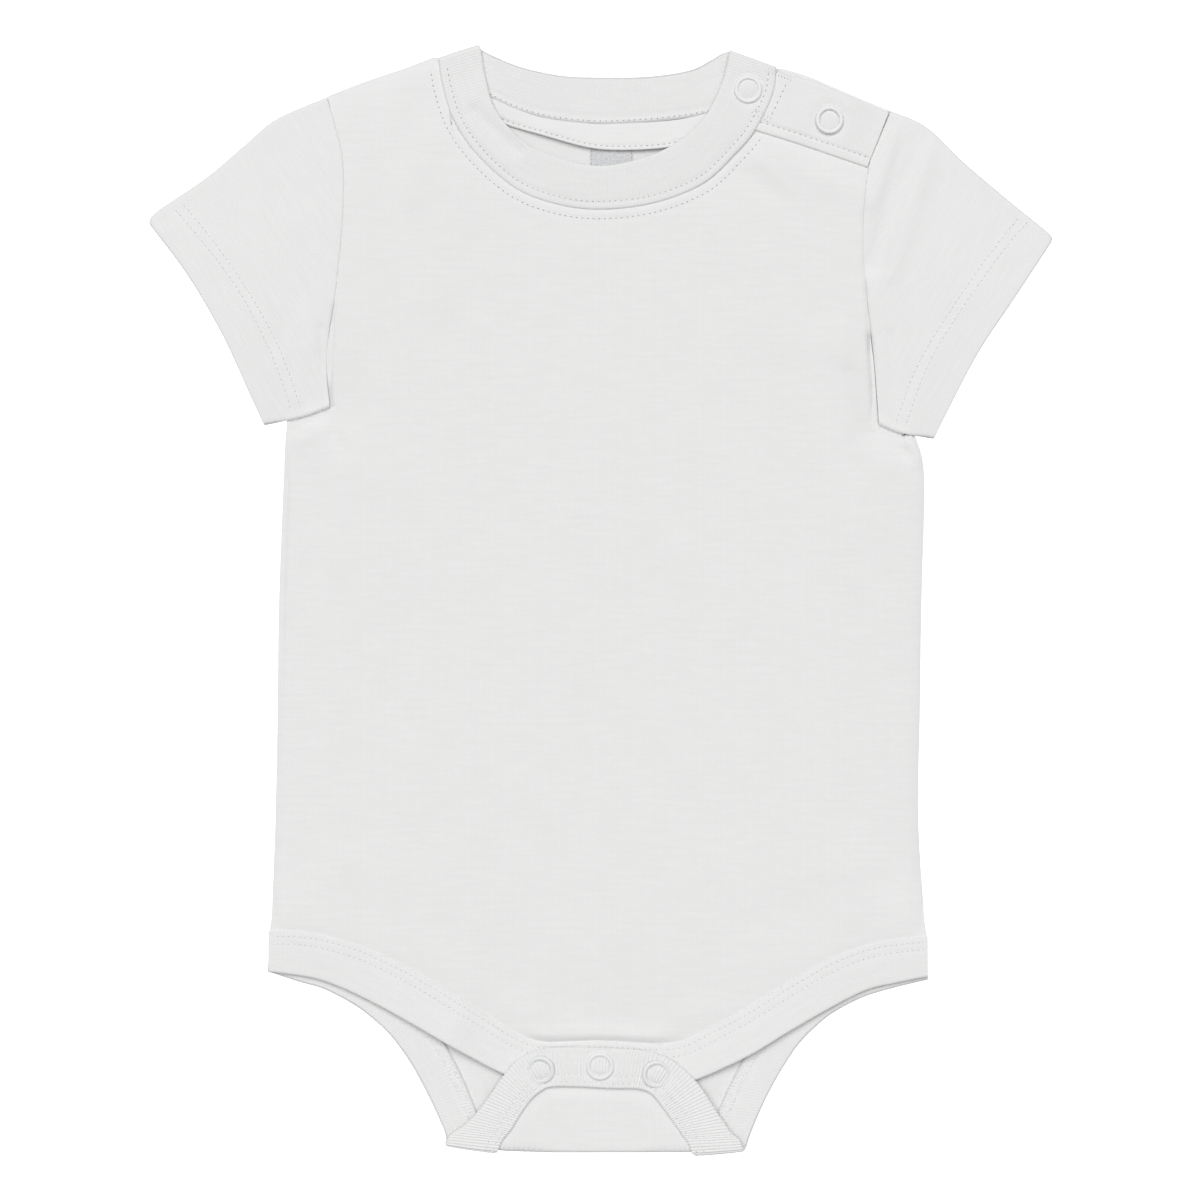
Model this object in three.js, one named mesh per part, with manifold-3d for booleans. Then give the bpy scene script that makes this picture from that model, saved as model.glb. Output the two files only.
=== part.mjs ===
// Baby bodysuit with short sleeves and a shoulder opening, laid flat on its back. Its crotch flap is
// folded up and snapped to the front. Millimetres, with +X to the viewer's right, +Y to the neck and
// +Z up from the surface it lies on. Left and right are the viewer's.
import * as THREE from 'three';
import { mergeVertices } from 'three/addons/utils/BufferGeometryUtils.js';
import Module from 'manifold-3d';

const wasm = await Module();
wasm.setup();

// Driving dimensions of the cloth and of the stack of layers.
const jerseyWall = 1.0;
const ribWall = 1.8; // a rib band is sewn on folded double
const hemWall = 1.5;
const seamGap = 0.3;
const edgeRound = 0.7;
const crownRise = 1.5; // the front stands this much higher in its middle than at its edges
const crownReach = 45;
const legLiftReach = 28;
const gridStep = 10;
const samplesPerRow = 3;
const armholeSamplesPerRow = 2;

// Press snaps: a ring cap on top, and a socket and stud pressed together between the layers.
const ringDiameter = 10.5;
const ringHole = 7.1;
const ringHeight = 0.7;
const coreDiameter = 8.4;
const coreHeight = 0.8;
const snapSegments = 20;

// Heights of the stack, each worked out from the layers below it.
const frontBase = jerseyWall + seamGap;
const bindingLift = ribWall - jerseyWall;
const crotchCoreBase = frontBase + ribWall + seamGap;
const flapUnderside = crotchCoreBase + coreHeight + seamGap;
const flapTop = flapUnderside + ribWall;
const foldRadius = flapTop / 2;
const foldEdge = -205.2;
const foldCentre = foldEdge + foldRadius;
const neckFoldRadius = ribWall + seamGap / 2;
const neckFoldUnderside = ribWall + seamGap;
const neckMiddleUnderside = frontBase + jerseyWall + seamGap;
const neckSnapUnderside = neckFoldUnderside + coreHeight + seamGap;
const placketBackWall = 1.2;
const placketFrontWall = 1.4;
const placketRest = frontBase + placketBackWall + seamGap;
const placketSnapLift = coreHeight + seamGap;

const table = (names, rows) =>
  rows.map((row) => Object.fromEntries(names.map((name, column) => [name, row[column]])));

const sides = table(['y', 'left', 'right'], [
  [45, -116.8, 119.7],
  [0, -118.5, 118.7],
  [-40, -119.0, 118.1],
  [-80, -119.8, 117.5],
  [-115, -121.2, 119.6],
  [-122, -121.9, 120.2],
]);

const armholes = table(['leftX', 'leftY', 'rightX', 'rightY'], [
  [-101.0, 185.9, 107.5, 180.8],
  [-97.4, 174.0, 102.6, 169.6],
  [-94.8, 161.0, 99.0, 159.2],
  [-95.0, 140.0, 97.0, 138.0],
  [-97.6, 114.0, 98.3, 114.0],
  [-101.0, 90.0, 101.2, 88.0],
  [-99.8, 71.4, 103.0, 65.0],
]);

const sleeveUndersides = table(['leftX', 'leftY', 'rightX', 'rightY'], [
  [-99.8, 71.4, 103.0, 65.0],
  [-108.0, 68.3, 111.0, 61.7],
  [-116.8, 66.1, 119.5, 60.2],
  [-124.1, 64.6, 123.4, 59.6],
]);

const sleeveTops = table(['leftX', 'leftY', 'rightX', 'rightY'], [
  [-101.0, 185.9, 107.5, 180.8],
  [-119.7, 177.7, 120.6, 174.9],
  [-130.4, 168.9, 134.8, 161.5],
  [-145.4, 156.2, 151.7, 147.2],
  [-163.4, 143.9, 165.4, 136.0],
  [-166.9, 139.4, 167.3, 133.0],
]);

const cuffs = table(['leftX', 'leftY', 'rightX', 'rightY'], [
  [-124.1, 64.6, 123.4, 59.6],
  [-129.3, 76.0, 127.2, 67.5],
  [-139.7, 98.6, 139.5, 91.1],
  [-152.5, 120.3, 153.6, 112.3],
  [-166.9, 139.4, 167.3, 133.0],
]);

const leftShoulder = table(['x', 'y'], [
  [-60.4, 200.9],
  [-72.3, 196.3],
  [-85.7, 191.8],
  [-101.0, 185.9],
]);

// Top and lower edges of the snapped strip on the right shoulder, from the neckband to the sleeve.
const placketFrontRows = table(['topX', 'topY', 'lowX', 'lowY'], [
  [67.4, 194.2, 58.2, 173.0],
  [78.6, 191.3, 70.0, 169.3],
  [91.6, 185.9, 84.0, 164.6],
  [106.6, 179.7, 98.6, 159.6],
]);

const placketBackRows = table(['topX', 'topY', 'lowX', 'lowY'], [
  [66.5, 196.6, 61.5, 183.5],
  [76.0, 193.9, 71.0, 179.6],
  [87.0, 189.3, 82.0, 174.6],
  [97.0, 185.0, 92.0, 170.2],
  [106.8, 181.0, 101.6, 168.4],
]);

// Seam with the panel and free edge of the neckband, along the front and then along the back.
const neckFront = table(['seamX', 'seamY', 'freeX', 'freeY'], [
  [65.2, 196.6, 47.8, 202.9],
  [63.8, 186.5, 45.6, 193.0],
  [57.2, 173.2, 41.4, 183.0],
  [50.0, 164.5, 37.0, 176.3],
  [38.0, 153.5, 29.0, 169.3],
  [20.0, 146.4, 17.0, 163.5],
  [0.0, 144.0, 0.5, 160.2],
  [-16.3, 146.0, -13.0, 162.5],
  [-31.5, 152.0, -26.0, 167.7],
  [-45.7, 164.5, -34.6, 175.4],
  [-54.0, 176.8, -39.6, 183.4],
  [-58.2, 190.0, -42.4, 194.0],
  [-59.5, 198.5, -43.9, 203.5],
]);
const placketSeamRow = 2;

const neckBack = table(['seamX', 'seamY', 'freeX', 'freeY'], [
  [-59.5, 198.5, -43.9, 203.5],
  [-50.5, 191.5, -38.5, 200.8],
  [-39.4, 185.0, -28.1, 196.8],
  [-24.0, 178.9, -13.9, 193.9],
  [-4.0, 176.0, 0.0, 193.3],
  [18.0, 176.6, 18.0, 193.6],
  [39.0, 179.4, 33.0, 195.9],
  [52.0, 184.5, 40.5, 199.4],
  [60.0, 190.5, 44.5, 201.8],
  [65.2, 196.6, 47.8, 202.9],
]);

const neckTapeRows = table(['x', 'top', 'low'], [
  [-44.0, 186.9, 180.4],
  [-34.6, 182.4, 175.6],
  [-22.2, 177.8, 171.9],
  [-4.6, 175.4, 167.1],
  [8.3, 175.4, 166.1],
  [25.0, 176.4, 167.1],
  [36.0, 178.2, 170.5],
  [46.0, 181.2, 175.0],
]);
const labelLeft = -3.6;
const labelRight = 12.1;
const labelTop = 165.6;
const labelBottom = 149;

const legFront = table(['x', 'top', 'low'], [
  [-122.4, -122.1, -137.3],
  [-110, -122.4, -138.9],
  [-100, -124.2, -141.4],
  [-86, -128.5, -147.5],
  [-70, -136.2, -156.1],
  [-50, -148.0, -167.6],
  [-38, -155.6, -174.0],
  [-29, -161.0, -177.8],
  [-20, -163.4, -179.2],
  [0, -163.0, -179.4],
  [20, -164.0, -179.6],
  [30, -163.2, -178.8],
  [40, -158.3, -175.4],
  [55, -150.2, -168.1],
  [70, -140.8, -159.2],
  [84, -132.9, -151.2],
  [98, -127.4, -144.2],
  [110, -125.2, -141.3],
  [121.0, -124.1, -139.1],
]);
const bindingLiftFrom = 40;
const bindingLiftTo = 50;

// Free edge and seam of the back leg binding: down the left leg, round the flap, up the right leg.
// The flap's rows are given where they lie after it is folded up.
const legBackLeft = table(['freeX', 'freeY', 'seamX', 'seamY'], [
  [-122.9, -137.4, -121.9, -122.6],
  [-111.2, -141.2, -107.5, -126.4],
  [-101.6, -144.1, -96.3, -130.0],
  [-90.5, -150.0, -82.4, -137.4],
  [-82.7, -156.0, -72.7, -144.9],
  [-76.8, -161.9, -65.0, -152.5],
  [-70.4, -170.8, -57.4, -163.8],
  [-64.0, -182.6, -50.6, -176.6],
  [-58.9, -194.4, -44.6, -191.4],
  [-57.0, -201.0, -41.0, -201.0],
]);
const flapRows = table(['freeX', 'freeY', 'seamX', 'seamY'], [
  [-56.2, -200.4, -38.0, -200.8],
  [-48.0, -192.0, -31.8, -195.5],
  [-42.0, -184.5, -29.0, -190.0],
  [-36.1, -175.9, -25.6, -185.0],
  [-30.0, -169.3, -22.6, -181.8],
  [-20.9, -165.4, -17.8, -179.6],
  [-7.7, -164.8, -7.7, -179.6],
  [6.4, -165.2, 4.5, -180.2],
  [16.8, -166.1, 13.9, -180.4],
  [26.5, -169.6, 18.8, -182.2],
  [35.5, -177.4, 22.8, -187.0],
  [42.4, -187.4, 27.0, -193.4],
  [48.5, -196.3, 30.8, -199.0],
  [52.0, -200.6, 33.0, -200.8],
]);
const legBackRight = table(['freeX', 'freeY', 'seamX', 'seamY'], [
  [54.9, -201.0, 37.4, -201.0],
  [58.3, -191.5, 43.0, -189.8],
  [62.3, -182.6, 47.6, -179.6],
  [67.2, -173.7, 53.0, -169.5],
  [73.1, -164.8, 60.4, -157.5],
  [78.6, -158.9, 67.4, -149.0],
  [85.7, -153.0, 76.8, -141.0],
  [96.8, -147.1, 90.7, -133.5],
  [108.0, -143.6, 104.7, -128.8],
  [121.3, -140.4, 120.2, -125.2],
]);

// Largest folds of the laid cloth. A negative height is a trough.
const folds = table(['fromX', 'fromY', 'toX', 'toY', 'width', 'height'], [
  [121, 173, 103, 120, 9, -1.1],
  [112, 150, 128, 118, 9, 0.5],
  [92, 112, 97, 62, 8, -0.8],
  [84, 100, 90, 40, 11, 0.5],
  [-91, 92, -99, 60, 8, -0.7],
  [-122, 168, -108, 122, 11, -0.6],
  [-128, 128, -112, 96, 9, 0.4],
  [60, 166, 96, 152, 7, -0.5],
  [-52, 150, -66, 112, 12, 0.5],
  [48, 138, 66, 96, 12, 0.4],
]);

const snaps = {
  neck: { x: 54.6, y: 188.4, coreBase: neckFoldUnderside, ringBase: neckSnapUnderside + ribWall },
  shoulder: {
    x: 84.6,
    y: 177.1,
    coreBase: placketRest,
    ringBase: placketRest + placketSnapLift + placketFrontWall,
  },
  crotch_left: { x: -21.9, y: -173.1, coreBase: crotchCoreBase, ringBase: flapTop },
  crotch_middle: { x: 0, y: -171.8, coreBase: crotchCoreBase, ringBase: flapTop },
  crotch_right: { x: 20.7, y: -174.7, coreBase: crotchCoreBase, ringBase: flapTop },
};

const { smoothstep } = THREE.MathUtils;

// Two of a table's columns as points, and those points joined by a smooth line.
function column(rows, xName, yName) {
  return rows.map((row) => new THREE.Vector2(row[xName], row[yName]));
}

function smoothLine(points, samples = samplesPerRow) {
  return new THREE.SplineCurve(points).getPoints((points.length - 1) * samples);
}

function moved(points, dx, dy) {
  return points.map((point) => new THREE.Vector2(point.x + dx, point.y + dy));
}

function heightAt(rows, name, x) {
  const next = rows.findIndex((row) => row.x >= x);
  if (next === 0) return rows[0][name];
  if (next < 0) return rows.at(-1)[name];
  const share = (x - rows[next - 1].x) / (rows[next].x - rows[next - 1].x);
  return THREE.MathUtils.lerp(rows[next - 1][name], rows[next][name], share);
}

function distanceToSegment(from, to, x, y) {
  const run = new THREE.Vector2().subVectors(to, from);
  const share = ((x - from.x) * run.x + (y - from.y) * run.y) / run.lengthSq();
  const nearest = from.clone().addScaledVector(run, THREE.MathUtils.clamp(share, 0, 1));
  return Math.hypot(x - nearest.x, y - nearest.y);
}

function distanceToLine(line, x, y) {
  let nearest = Infinity;
  for (let i = 1; i < line.length; i += 1) {
    nearest = Math.min(nearest, distanceToSegment(line[i - 1], line[i], x, y));
  }
  return nearest;
}

// The cut of the panels: each seam is one line that both of its pieces follow.
const seams = {};
for (const side of ['left', 'right']) {
  seams[side] = {
    side: smoothLine(sides.map((row) => new THREE.Vector2(row[side], row.y))),
    armhole: smoothLine(column(armholes, `${side}X`, `${side}Y`), armholeSamplesPerRow),
    sleeveTop: smoothLine(column(sleeveTops, `${side}X`, `${side}Y`)),
    underarm: smoothLine(column(sleeveUndersides, `${side}X`, `${side}Y`)),
    cuff: smoothLine(column(cuffs, `${side}X`, `${side}Y`)),
  };
}
const shoulderLine = smoothLine(column(leftShoulder, 'x', 'y'));
const placketTop = smoothLine(column(placketBackRows, 'topX', 'topY'));
const placketSeam = smoothLine(column(placketFrontRows, 'lowX', 'lowY'));
const frontNeckSeam = smoothLine(column(neckFront, 'seamX', 'seamY'));
const backNeckSeam = smoothLine(column(neckBack, 'seamX', 'seamY'));
const frontLegSeam = smoothLine(column(legFront, 'x', 'top'));
const underarmRowsOnBody = 2;

const frontEdges = [
  seams.left.side,
  seams.left.sleeveTop,
  seams.left.underarm,
  seams.left.cuff,
  shoulderLine,
  placketTop,
  seams.right.side,
  seams.right.sleeveTop,
  seams.right.underarm,
  seams.right.cuff,
  frontLegSeam,
];

function foldRelief(x, y) {
  let height = 0;
  for (const fold of folds) {
    const from = new THREE.Vector2(fold.fromX, fold.fromY);
    const to = new THREE.Vector2(fold.toX, fold.toY);
    const away = distanceToSegment(from, to, x, y) / fold.width;
    height += fold.height * Math.exp(-away * away);
  }
  return height;
}

function legLift(x) {
  return bindingLift * smoothstep(Math.abs(x), bindingLiftFrom, bindingLiftTo);
}

// Height of the front layer's underside, for the panel and for the sleeves.
function frontUnderside(x, y) {
  const edge = Math.min(...frontEdges.map((line) => distanceToLine(line, x, y)));
  const crown = crownRise * Math.sin(Math.min(1, edge / crownReach) * Math.PI / 2);
  const overLeg = 1 - smoothstep(y - heightAt(legFront, 'top', x), 0, legLiftReach);
  return Math.max(frontBase, frontBase + crown + foldRelief(x, y)) + legLift(x) * overLeg;
}

// Closed geometry from points and faces, turned to face outwards.
function closedGeometry(points, faces) {
  let volume = 0;
  for (const [a, b, c] of faces) {
    volume += points[a].dot(new THREE.Vector3().crossVectors(points[b], points[c]));
  }
  const order = volume > 0 ? faces : faces.map(([a, b, c]) => [a, c, b]);
  const geometry = new THREE.BufferGeometry();
  const positions = new Float32Array(points.flatMap((point) => point.toArray()));
  geometry.setAttribute('position', new THREE.BufferAttribute(positions, 3));
  geometry.setIndex(order.flat());
  return geometry;
}

function bandFaces(rowA, rowB, count) {
  const faces = [];
  for (let i = 0; i < count; i += 1) {
    const next = (i + 1) % count;
    faces.push([rowA + i, rowA + next, rowB + next], [rowA + i, rowB + next, rowB + i]);
  }
  return faces;
}

// Solid strip through rows of sections. A row holds both edges on the strip's outer face and the
// direction in which its thickness goes.
function stripSolid(rows, wall) {
  const ringSize = 6;
  const points = rows.flatMap(({ from, to, depth }) => {
    const inward = to.clone().sub(from).setLength(edgeRound);
    const at = (edge, shift, share) =>
      edge.clone().addScaledVector(inward, shift).addScaledVector(depth, wall * share);
    return [at(from, 1, 0), at(to, -1, 0), at(to, 0, 0.5), at(to, -1, 1), at(from, 1, 1), at(from, 0, 0.5)];
  });
  const faces = [];
  for (let row = 1; row < rows.length; row += 1) {
    faces.push(...bandFaces((row - 1) * ringSize, row * ringSize, ringSize));
  }
  const last = (rows.length - 1) * ringSize;
  for (let i = 2; i < ringSize; i += 1) {
    faces.push([0, i, i - 1], [last, last + i - 1, last + i]);
  }
  return closedGeometry(points, faces);
}

// Rows of a strip that lies flat: both edges at one height, with the thickness going down.
function flatRows(fromLine, toLine, topAt) {
  const down = new THREE.Vector3(0, 0, -1);
  return fromLine.map((from, i) => {
    const to = toLine[i];
    const middle = new THREE.Vector2().lerpVectors(from, to, 0.5);
    const top = topAt(middle.x, middle.y);
    const raised = (point) => new THREE.Vector3(point.x, point.y, top);
    return { from: raised(from), to: raised(to), depth: down };
  });
}

// A line drawn back from a seam by the gap that two sewn pieces keep.
function seamAllowance(seamLine, towardsLine) {
  return seamLine.map((point, i) => {
    const towards = new THREE.Vector2().subVectors(towardsLine[i], point).setLength(seamGap);
    return point.clone().add(towards);
  });
}

function asManifold(geometry) {
  const bare = geometry.clone();
  bare.deleteAttribute('normal');
  bare.deleteAttribute('uv');
  const merged = mergeVertices(bare);
  const mesh = new wasm.Mesh({
    numProp: 3,
    vertProperties: new Float32Array(merged.attributes.position.array),
    triVerts: new Uint32Array(merged.index.array),
  });
  return new wasm.Manifold(mesh);
}

function gridLines(from, to, step) {
  const count = Math.ceil((to - from) / step);
  return Array.from({ length: count + 1 }, (_, i) => from + ((to - from) * i) / count);
}

// Slab of one wall's thickness over a grid, with its underside at the height given for each point.
function slab(xLines, yLines, underside, wall) {
  const points = [];
  const layer = xLines.length * yLines.length;
  for (const top of [0, wall]) {
    for (const y of yLines) {
      for (const x of xLines) points.push(new THREE.Vector3(x, y, underside(x, y) + top));
    }
  }
  const at = (column, row) => row * xLines.length + column;
  const faces = [];
  const wallFaces = (a, b) => faces.push([a, b, b + layer], [a, b + layer, a + layer]);
  for (let row = 1; row < yLines.length; row += 1) {
    for (let col = 1; col < xLines.length; col += 1) {
      const [a, b, c, d] = [at(col - 1, row - 1), at(col, row - 1), at(col, row), at(col - 1, row)];
      faces.push([a, c, b], [a, d, c], [a + layer, b + layer, c + layer], [a + layer, c + layer, d + layer]);
    }
  }
  const [lastColumn, lastRow] = [xLines.length - 1, yLines.length - 1];
  for (let col = 1; col <= lastColumn; col += 1) {
    wallFaces(at(col - 1, 0), at(col, 0));
    wallFaces(at(col, lastRow), at(col - 1, lastRow));
  }
  for (let row = 1; row <= lastRow; row += 1) {
    wallFaces(at(lastColumn, row - 1), at(lastColumn, row));
    wallFaces(at(0, row), at(0, row - 1));
  }
  return closedGeometry(points, faces);
}

// A slab cut along an outline, as a panel is cut from cloth. place moves each of its points.
function cutPanel(outline, xLines, yLines, underside, wall, place) {
  const prismDepth = 40;
  const extrusion = { depth: prismDepth, bevelEnabled: false };
  const prism = new THREE.ExtrudeGeometry(new THREE.Shape(outline), extrusion);
  prism.translate(0, 0, -prismDepth / 2);
  const cut = asManifold(slab(xLines, yLines, underside, wall)).intersect(asManifold(prism)).getMesh();
  const points = [];
  for (let i = 0; i < cut.vertProperties.length; i += cut.numProp) {
    points.push(place(new THREE.Vector3(...cut.vertProperties.slice(i, i + 3))));
  }
  const faces = [];
  for (let i = 0; i < cut.triVerts.length; i += 3) faces.push(Array.from(cut.triVerts.slice(i, i + 3)));
  return closedGeometry(points, faces);
}

// The flap is cut in one with the back and folded up over the front. In the flat cut it goes on
// below the fold, where y is measured along the cloth's outer face.
const foldArc = Math.PI * foldRadius;
const flapToFlat = (point) => new THREE.Vector2(point.x, 2 * foldCentre - foldArc - point.y);

function foldedUp(point) {
  const beyond = foldCentre - point.y;
  if (beyond <= 0) return point.clone();
  if (beyond >= foldArc) return new THREE.Vector3(point.x, foldCentre + beyond - foldArc, flapTop - point.z);
  const angle = beyond / foldRadius;
  const reach = foldRadius - point.z;
  return new THREE.Vector3(
    point.x,
    foldCentre - reach * Math.sin(angle),
    foldRadius - reach * Math.cos(angle),
  );
}

function flatLegLine(xName, yName) {
  const flap = column(flapRows, xName, yName).map(flapToFlat);
  return [...column(legBackLeft, xName, yName), ...flap, ...column(legBackRight, xName, yName)];
}
const backLegSeam = smoothLine(flatLegLine('seamX', 'seamY'));
const backLegFree = smoothLine(flatLegLine('freeX', 'freeY'));

// Body edge from the top of the side up to the shoulder, just clear of the sleeve.
function bodyEdge(side) {
  const underarmLine = seams[side].underarm.slice(0, underarmRowsOnBody * samplesPerRow + 1);
  const underarm = moved(underarmLine, 0, -seamGap).reverse();
  const armhole = [...seams[side].armhole].reverse().slice(1);
  return [...underarm, ...armhole];
}

function frontPanel() {
  const neck = frontNeckSeam.slice(placketSeamRow * samplesPerRow);
  const placket = moved(placketSeam, 0, -seamGap).reverse();
  const rightEdge = bodyEdge('right').filter((point) => point.y < placketSeam.at(-1).y - seamGap);
  const outline = [
    ...seams.left.side,
    ...moved(frontLegSeam, 0, seamGap).slice(1),
    ...[...seams.right.side].reverse().slice(1),
    ...rightEdge,
    ...placket,
    ...neck.slice(1),
    ...shoulderLine.slice(0, -1),
    ...[...bodyEdge('left')].reverse(),
  ];
  const xLines = gridLines(-126, 126, gridStep);
  const yLines = gridLines(-168, 206, gridStep);
  return cutPanel(outline, xLines, yLines, frontUnderside, jerseyWall, (point) => point);
}

function backPanel() {
  const outline = [
    ...seams.left.side,
    ...backLegSeam,
    ...[...seams.right.side].reverse(),
    ...bodyEdge('right'),
    ...placketTop.slice(0, -1).reverse(),
    ...[...backNeckSeam].reverse(),
    ...shoulderLine.slice(0, -1),
    ...[...bodyEdge('left')].reverse(),
  ];
  const foldSteps = 8;
  const yLines = [-252, ...gridLines(foldCentre - foldArc, foldCentre, foldArc / foldSteps), 40, 206];
  return cutPanel(outline, [-126, 0, 126], yLines, () => 0, jerseyWall, foldedUp);
}

// A sleeve is a flattened tube, open at the armhole and at the cuff, with a turned hem.
const sleeveLengthSteps = [0, 0.12, 0.26, 0.4, 0.54, 0.68, 0.78, 0.8, 0.9, 1];
const hemStart = 0.79;
const sleeveGirthSteps = (armholes.length - 1) * armholeSamplesPerRow;
const sleeveTopSteps = Array.from({ length: sleeveGirthSteps - 1 }, (_, i) => (i + 1) / sleeveGirthSteps);
const sleeveBackSteps = [...sleeveTopSteps].reverse();
const sleeveEdgeInset = 1.3;

function along(line, share) {
  const place = share * (line.length - 1);
  const start = Math.min(Math.floor(place), line.length - 2);
  return new THREE.Vector2().lerpVectors(line[start], line[start + 1], place - start);
}

// Point of a patch between four lines, u from the armhole to the cuff, v from the underarm up.
function sleevePoint(lines, u, v) {
  const { armhole, cuff, underarm, sleeveTop } = lines;
  const start = along(armhole, 1 - v);
  const end = along(cuff, v);
  const low = along(underarm, u);
  const high = along(sleeveTop, u);
  const corner = (line, share, weight) => along(line, share).multiplyScalar(weight);
  return start.multiplyScalar(1 - u)
    .add(end.multiplyScalar(u))
    .add(low.multiplyScalar(1 - v))
    .add(high.multiplyScalar(v))
    .sub(corner(underarm, 0, (1 - u) * (1 - v)))
    .sub(corner(sleeveTop, 0, (1 - u) * v))
    .sub(corner(underarm, 1, u * (1 - v)))
    .sub(corner(sleeveTop, 1, u * v));
}

function sleeve(side) {
  const awayFromBody = side === 'left' ? -seamGap : seamGap;
  const lines = { ...seams[side], armhole: moved(seams[side].armhole, awayFromBody, 0) };
  lines.underarm = lines.underarm.map((point, i) => (i === 0 ? lines.armhole.at(-1) : point));
  lines.sleeveTop = lines.sleeveTop.map((point, i) => (i === 0 ? lines.armhole[0] : point));
  const outerRings = [];
  const innerRings = [];
  for (const u of sleeveLengthSteps) {
    const span = sleevePoint(lines, u, 0).distanceTo(sleevePoint(lines, u, 1));
    const wall = u > hemStart ? hemWall : jerseyWall;
    const top = ({ x, y }) => Math.max(frontUnderside(x, y) + jerseyWall, 2 * wall + seamGap);
    const ring = (inset, shell) => {
      const ringPoint = (v, heightOf) => {
        const place = sleevePoint(lines, u, v);
        return new THREE.Vector3(place.x, place.y, heightOf(place));
      };
      const edge = inset / span;
      const shoulder = (inset + sleeveEdgeInset) / span;
      const half = (place) => top(place) / 2;
      const over = (place) => top(place) - shell;
      const under = () => shell;
      return [
        ringPoint(edge, half),
        ringPoint(shoulder, over),
        ...sleeveTopSteps.map((v) => ringPoint(v, over)),
        ringPoint(1 - shoulder, over),
        ringPoint(1 - edge, half),
        ringPoint(1 - shoulder, under),
        ...sleeveBackSteps.map((v) => ringPoint(v, under)),
        ringPoint(shoulder, under),
      ];
    };
    outerRings.push(ring(0, 0));
    innerRings.push(ring(wall, wall));
  }
  const count = outerRings[0].length;
  const rows = outerRings.length;
  const innerStart = rows * count;
  const faces = [];
  for (let row = 1; row < rows; row += 1) {
    faces.push(...bandFaces((row - 1) * count, row * count, count));
    faces.push(...bandFaces(innerStart + row * count, innerStart + (row - 1) * count, count));
  }
  faces.push(...bandFaces(innerStart, 0, count));
  faces.push(...bandFaces((rows - 1) * count, innerStart + (rows - 1) * count, count));
  return closedGeometry([...outerRings, ...innerRings].flat(), faces);
}

// The neckband runs from the placket along the front, folds over at the left shoulder and comes
// back along the back of the neck.
function neckband() {
  const frontFree = smoothLine(column(neckFront, 'freeX', 'freeY'));
  const backFree = smoothLine(column(neckBack, 'freeX', 'freeY'));
  const frontSeam = seamAllowance(frontNeckSeam, frontFree);
  const backSeam = seamAllowance(backNeckSeam, backFree);
  const frontTop = (x, y) => {
    const snapShare = smoothstep(x, 25, 50);
    const foldShare = x < 0 ? smoothstep(y, 182, 199) : 0;
    const lift = (neckSnapUnderside - neckMiddleUnderside) * snapShare;
    const drop = (neckMiddleUnderside - neckFoldUnderside) * foldShare;
    return neckMiddleUnderside + lift - drop + ribWall;
  };
  const rows = flatRows(frontSeam, frontFree, frontTop);
  const [seamEnd, freeEnd] = [backSeam[0], backFree[0]];
  const foldLine = new THREE.Vector2().subVectors(freeEnd, seamEnd).normalize();
  const outward = new THREE.Vector3(-foldLine.y, foldLine.x, 0);
  const up = new THREE.Vector3(0, 0, 1);
  const turnSteps = 6;
  for (let step = 1; step < turnSteps; step += 1) {
    const angle = Math.PI * (1 - step / turnSteps);
    const depth = outward.clone().multiplyScalar(-Math.sin(angle)).addScaledVector(up, Math.cos(angle));
    const onArc = (point) =>
      new THREE.Vector3(point.x, point.y, neckFoldRadius).addScaledVector(depth, -neckFoldRadius);
    rows.push({ from: onArc(seamEnd), to: onArc(freeEnd), depth });
  }
  const backRows = flatRows(backSeam, backFree, () => 0);
  rows.push(...backRows.map((row) => ({ ...row, depth: up })));
  return stripSolid(rows, ribWall);
}

function neckTape() {
  const top = smoothLine(column(neckTapeRows, 'x', 'top'));
  const low = smoothLine(column(neckTapeRows, 'x', 'low'));
  return stripSolid(flatRows(top, low, () => frontBase + jerseyWall), jerseyWall);
}

function sizeLabel() {
  const label = new THREE.BoxGeometry(labelRight - labelLeft, labelTop - labelBottom, jerseyWall);
  label.translate((labelLeft + labelRight) / 2, (labelTop + labelBottom) / 2, frontBase + jerseyWall / 2);
  return label;
}

function placketFront() {
  const top = smoothLine(column(placketFrontRows, 'topX', 'topY'));
  const { x: snapX, y: snapY } = snaps.shoulder;
  const bulge = 17;
  const heightAtPlace = (x, y) => {
    const away = Math.hypot(x - snapX, y - snapY);
    return placketRest + placketSnapLift * (1 - smoothstep(away, bulge / 2, bulge)) + placketFrontWall;
  };
  return stripSolid(flatRows(top, placketSeam, heightAtPlace), placketFrontWall);
}

function placketBack() {
  const low = smoothLine(column(placketBackRows, 'lowX', 'lowY'));
  return stripSolid(flatRows(placketTop, low, () => frontBase + placketBackWall), placketBackWall);
}

function legBindingFront() {
  const low = smoothLine(column(legFront, 'x', 'low'));
  const topAt = (x) => frontBase + legLift(x) + ribWall;
  return stripSolid(flatRows(seamAllowance(frontLegSeam, low), low, topAt), ribWall);
}

function legBindingBack() {
  const seamLine = seamAllowance(backLegSeam, backLegFree);
  const rows = backLegFree.map((free, i) => {
    const place = (point, height) => foldedUp(new THREE.Vector3(point.x, point.y, height));
    const from = place(free, 0);
    return { from, to: place(seamLine[i], 0), depth: place(free, 1).sub(from) };
  });
  return stripSolid(rows, ribWall);
}

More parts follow.
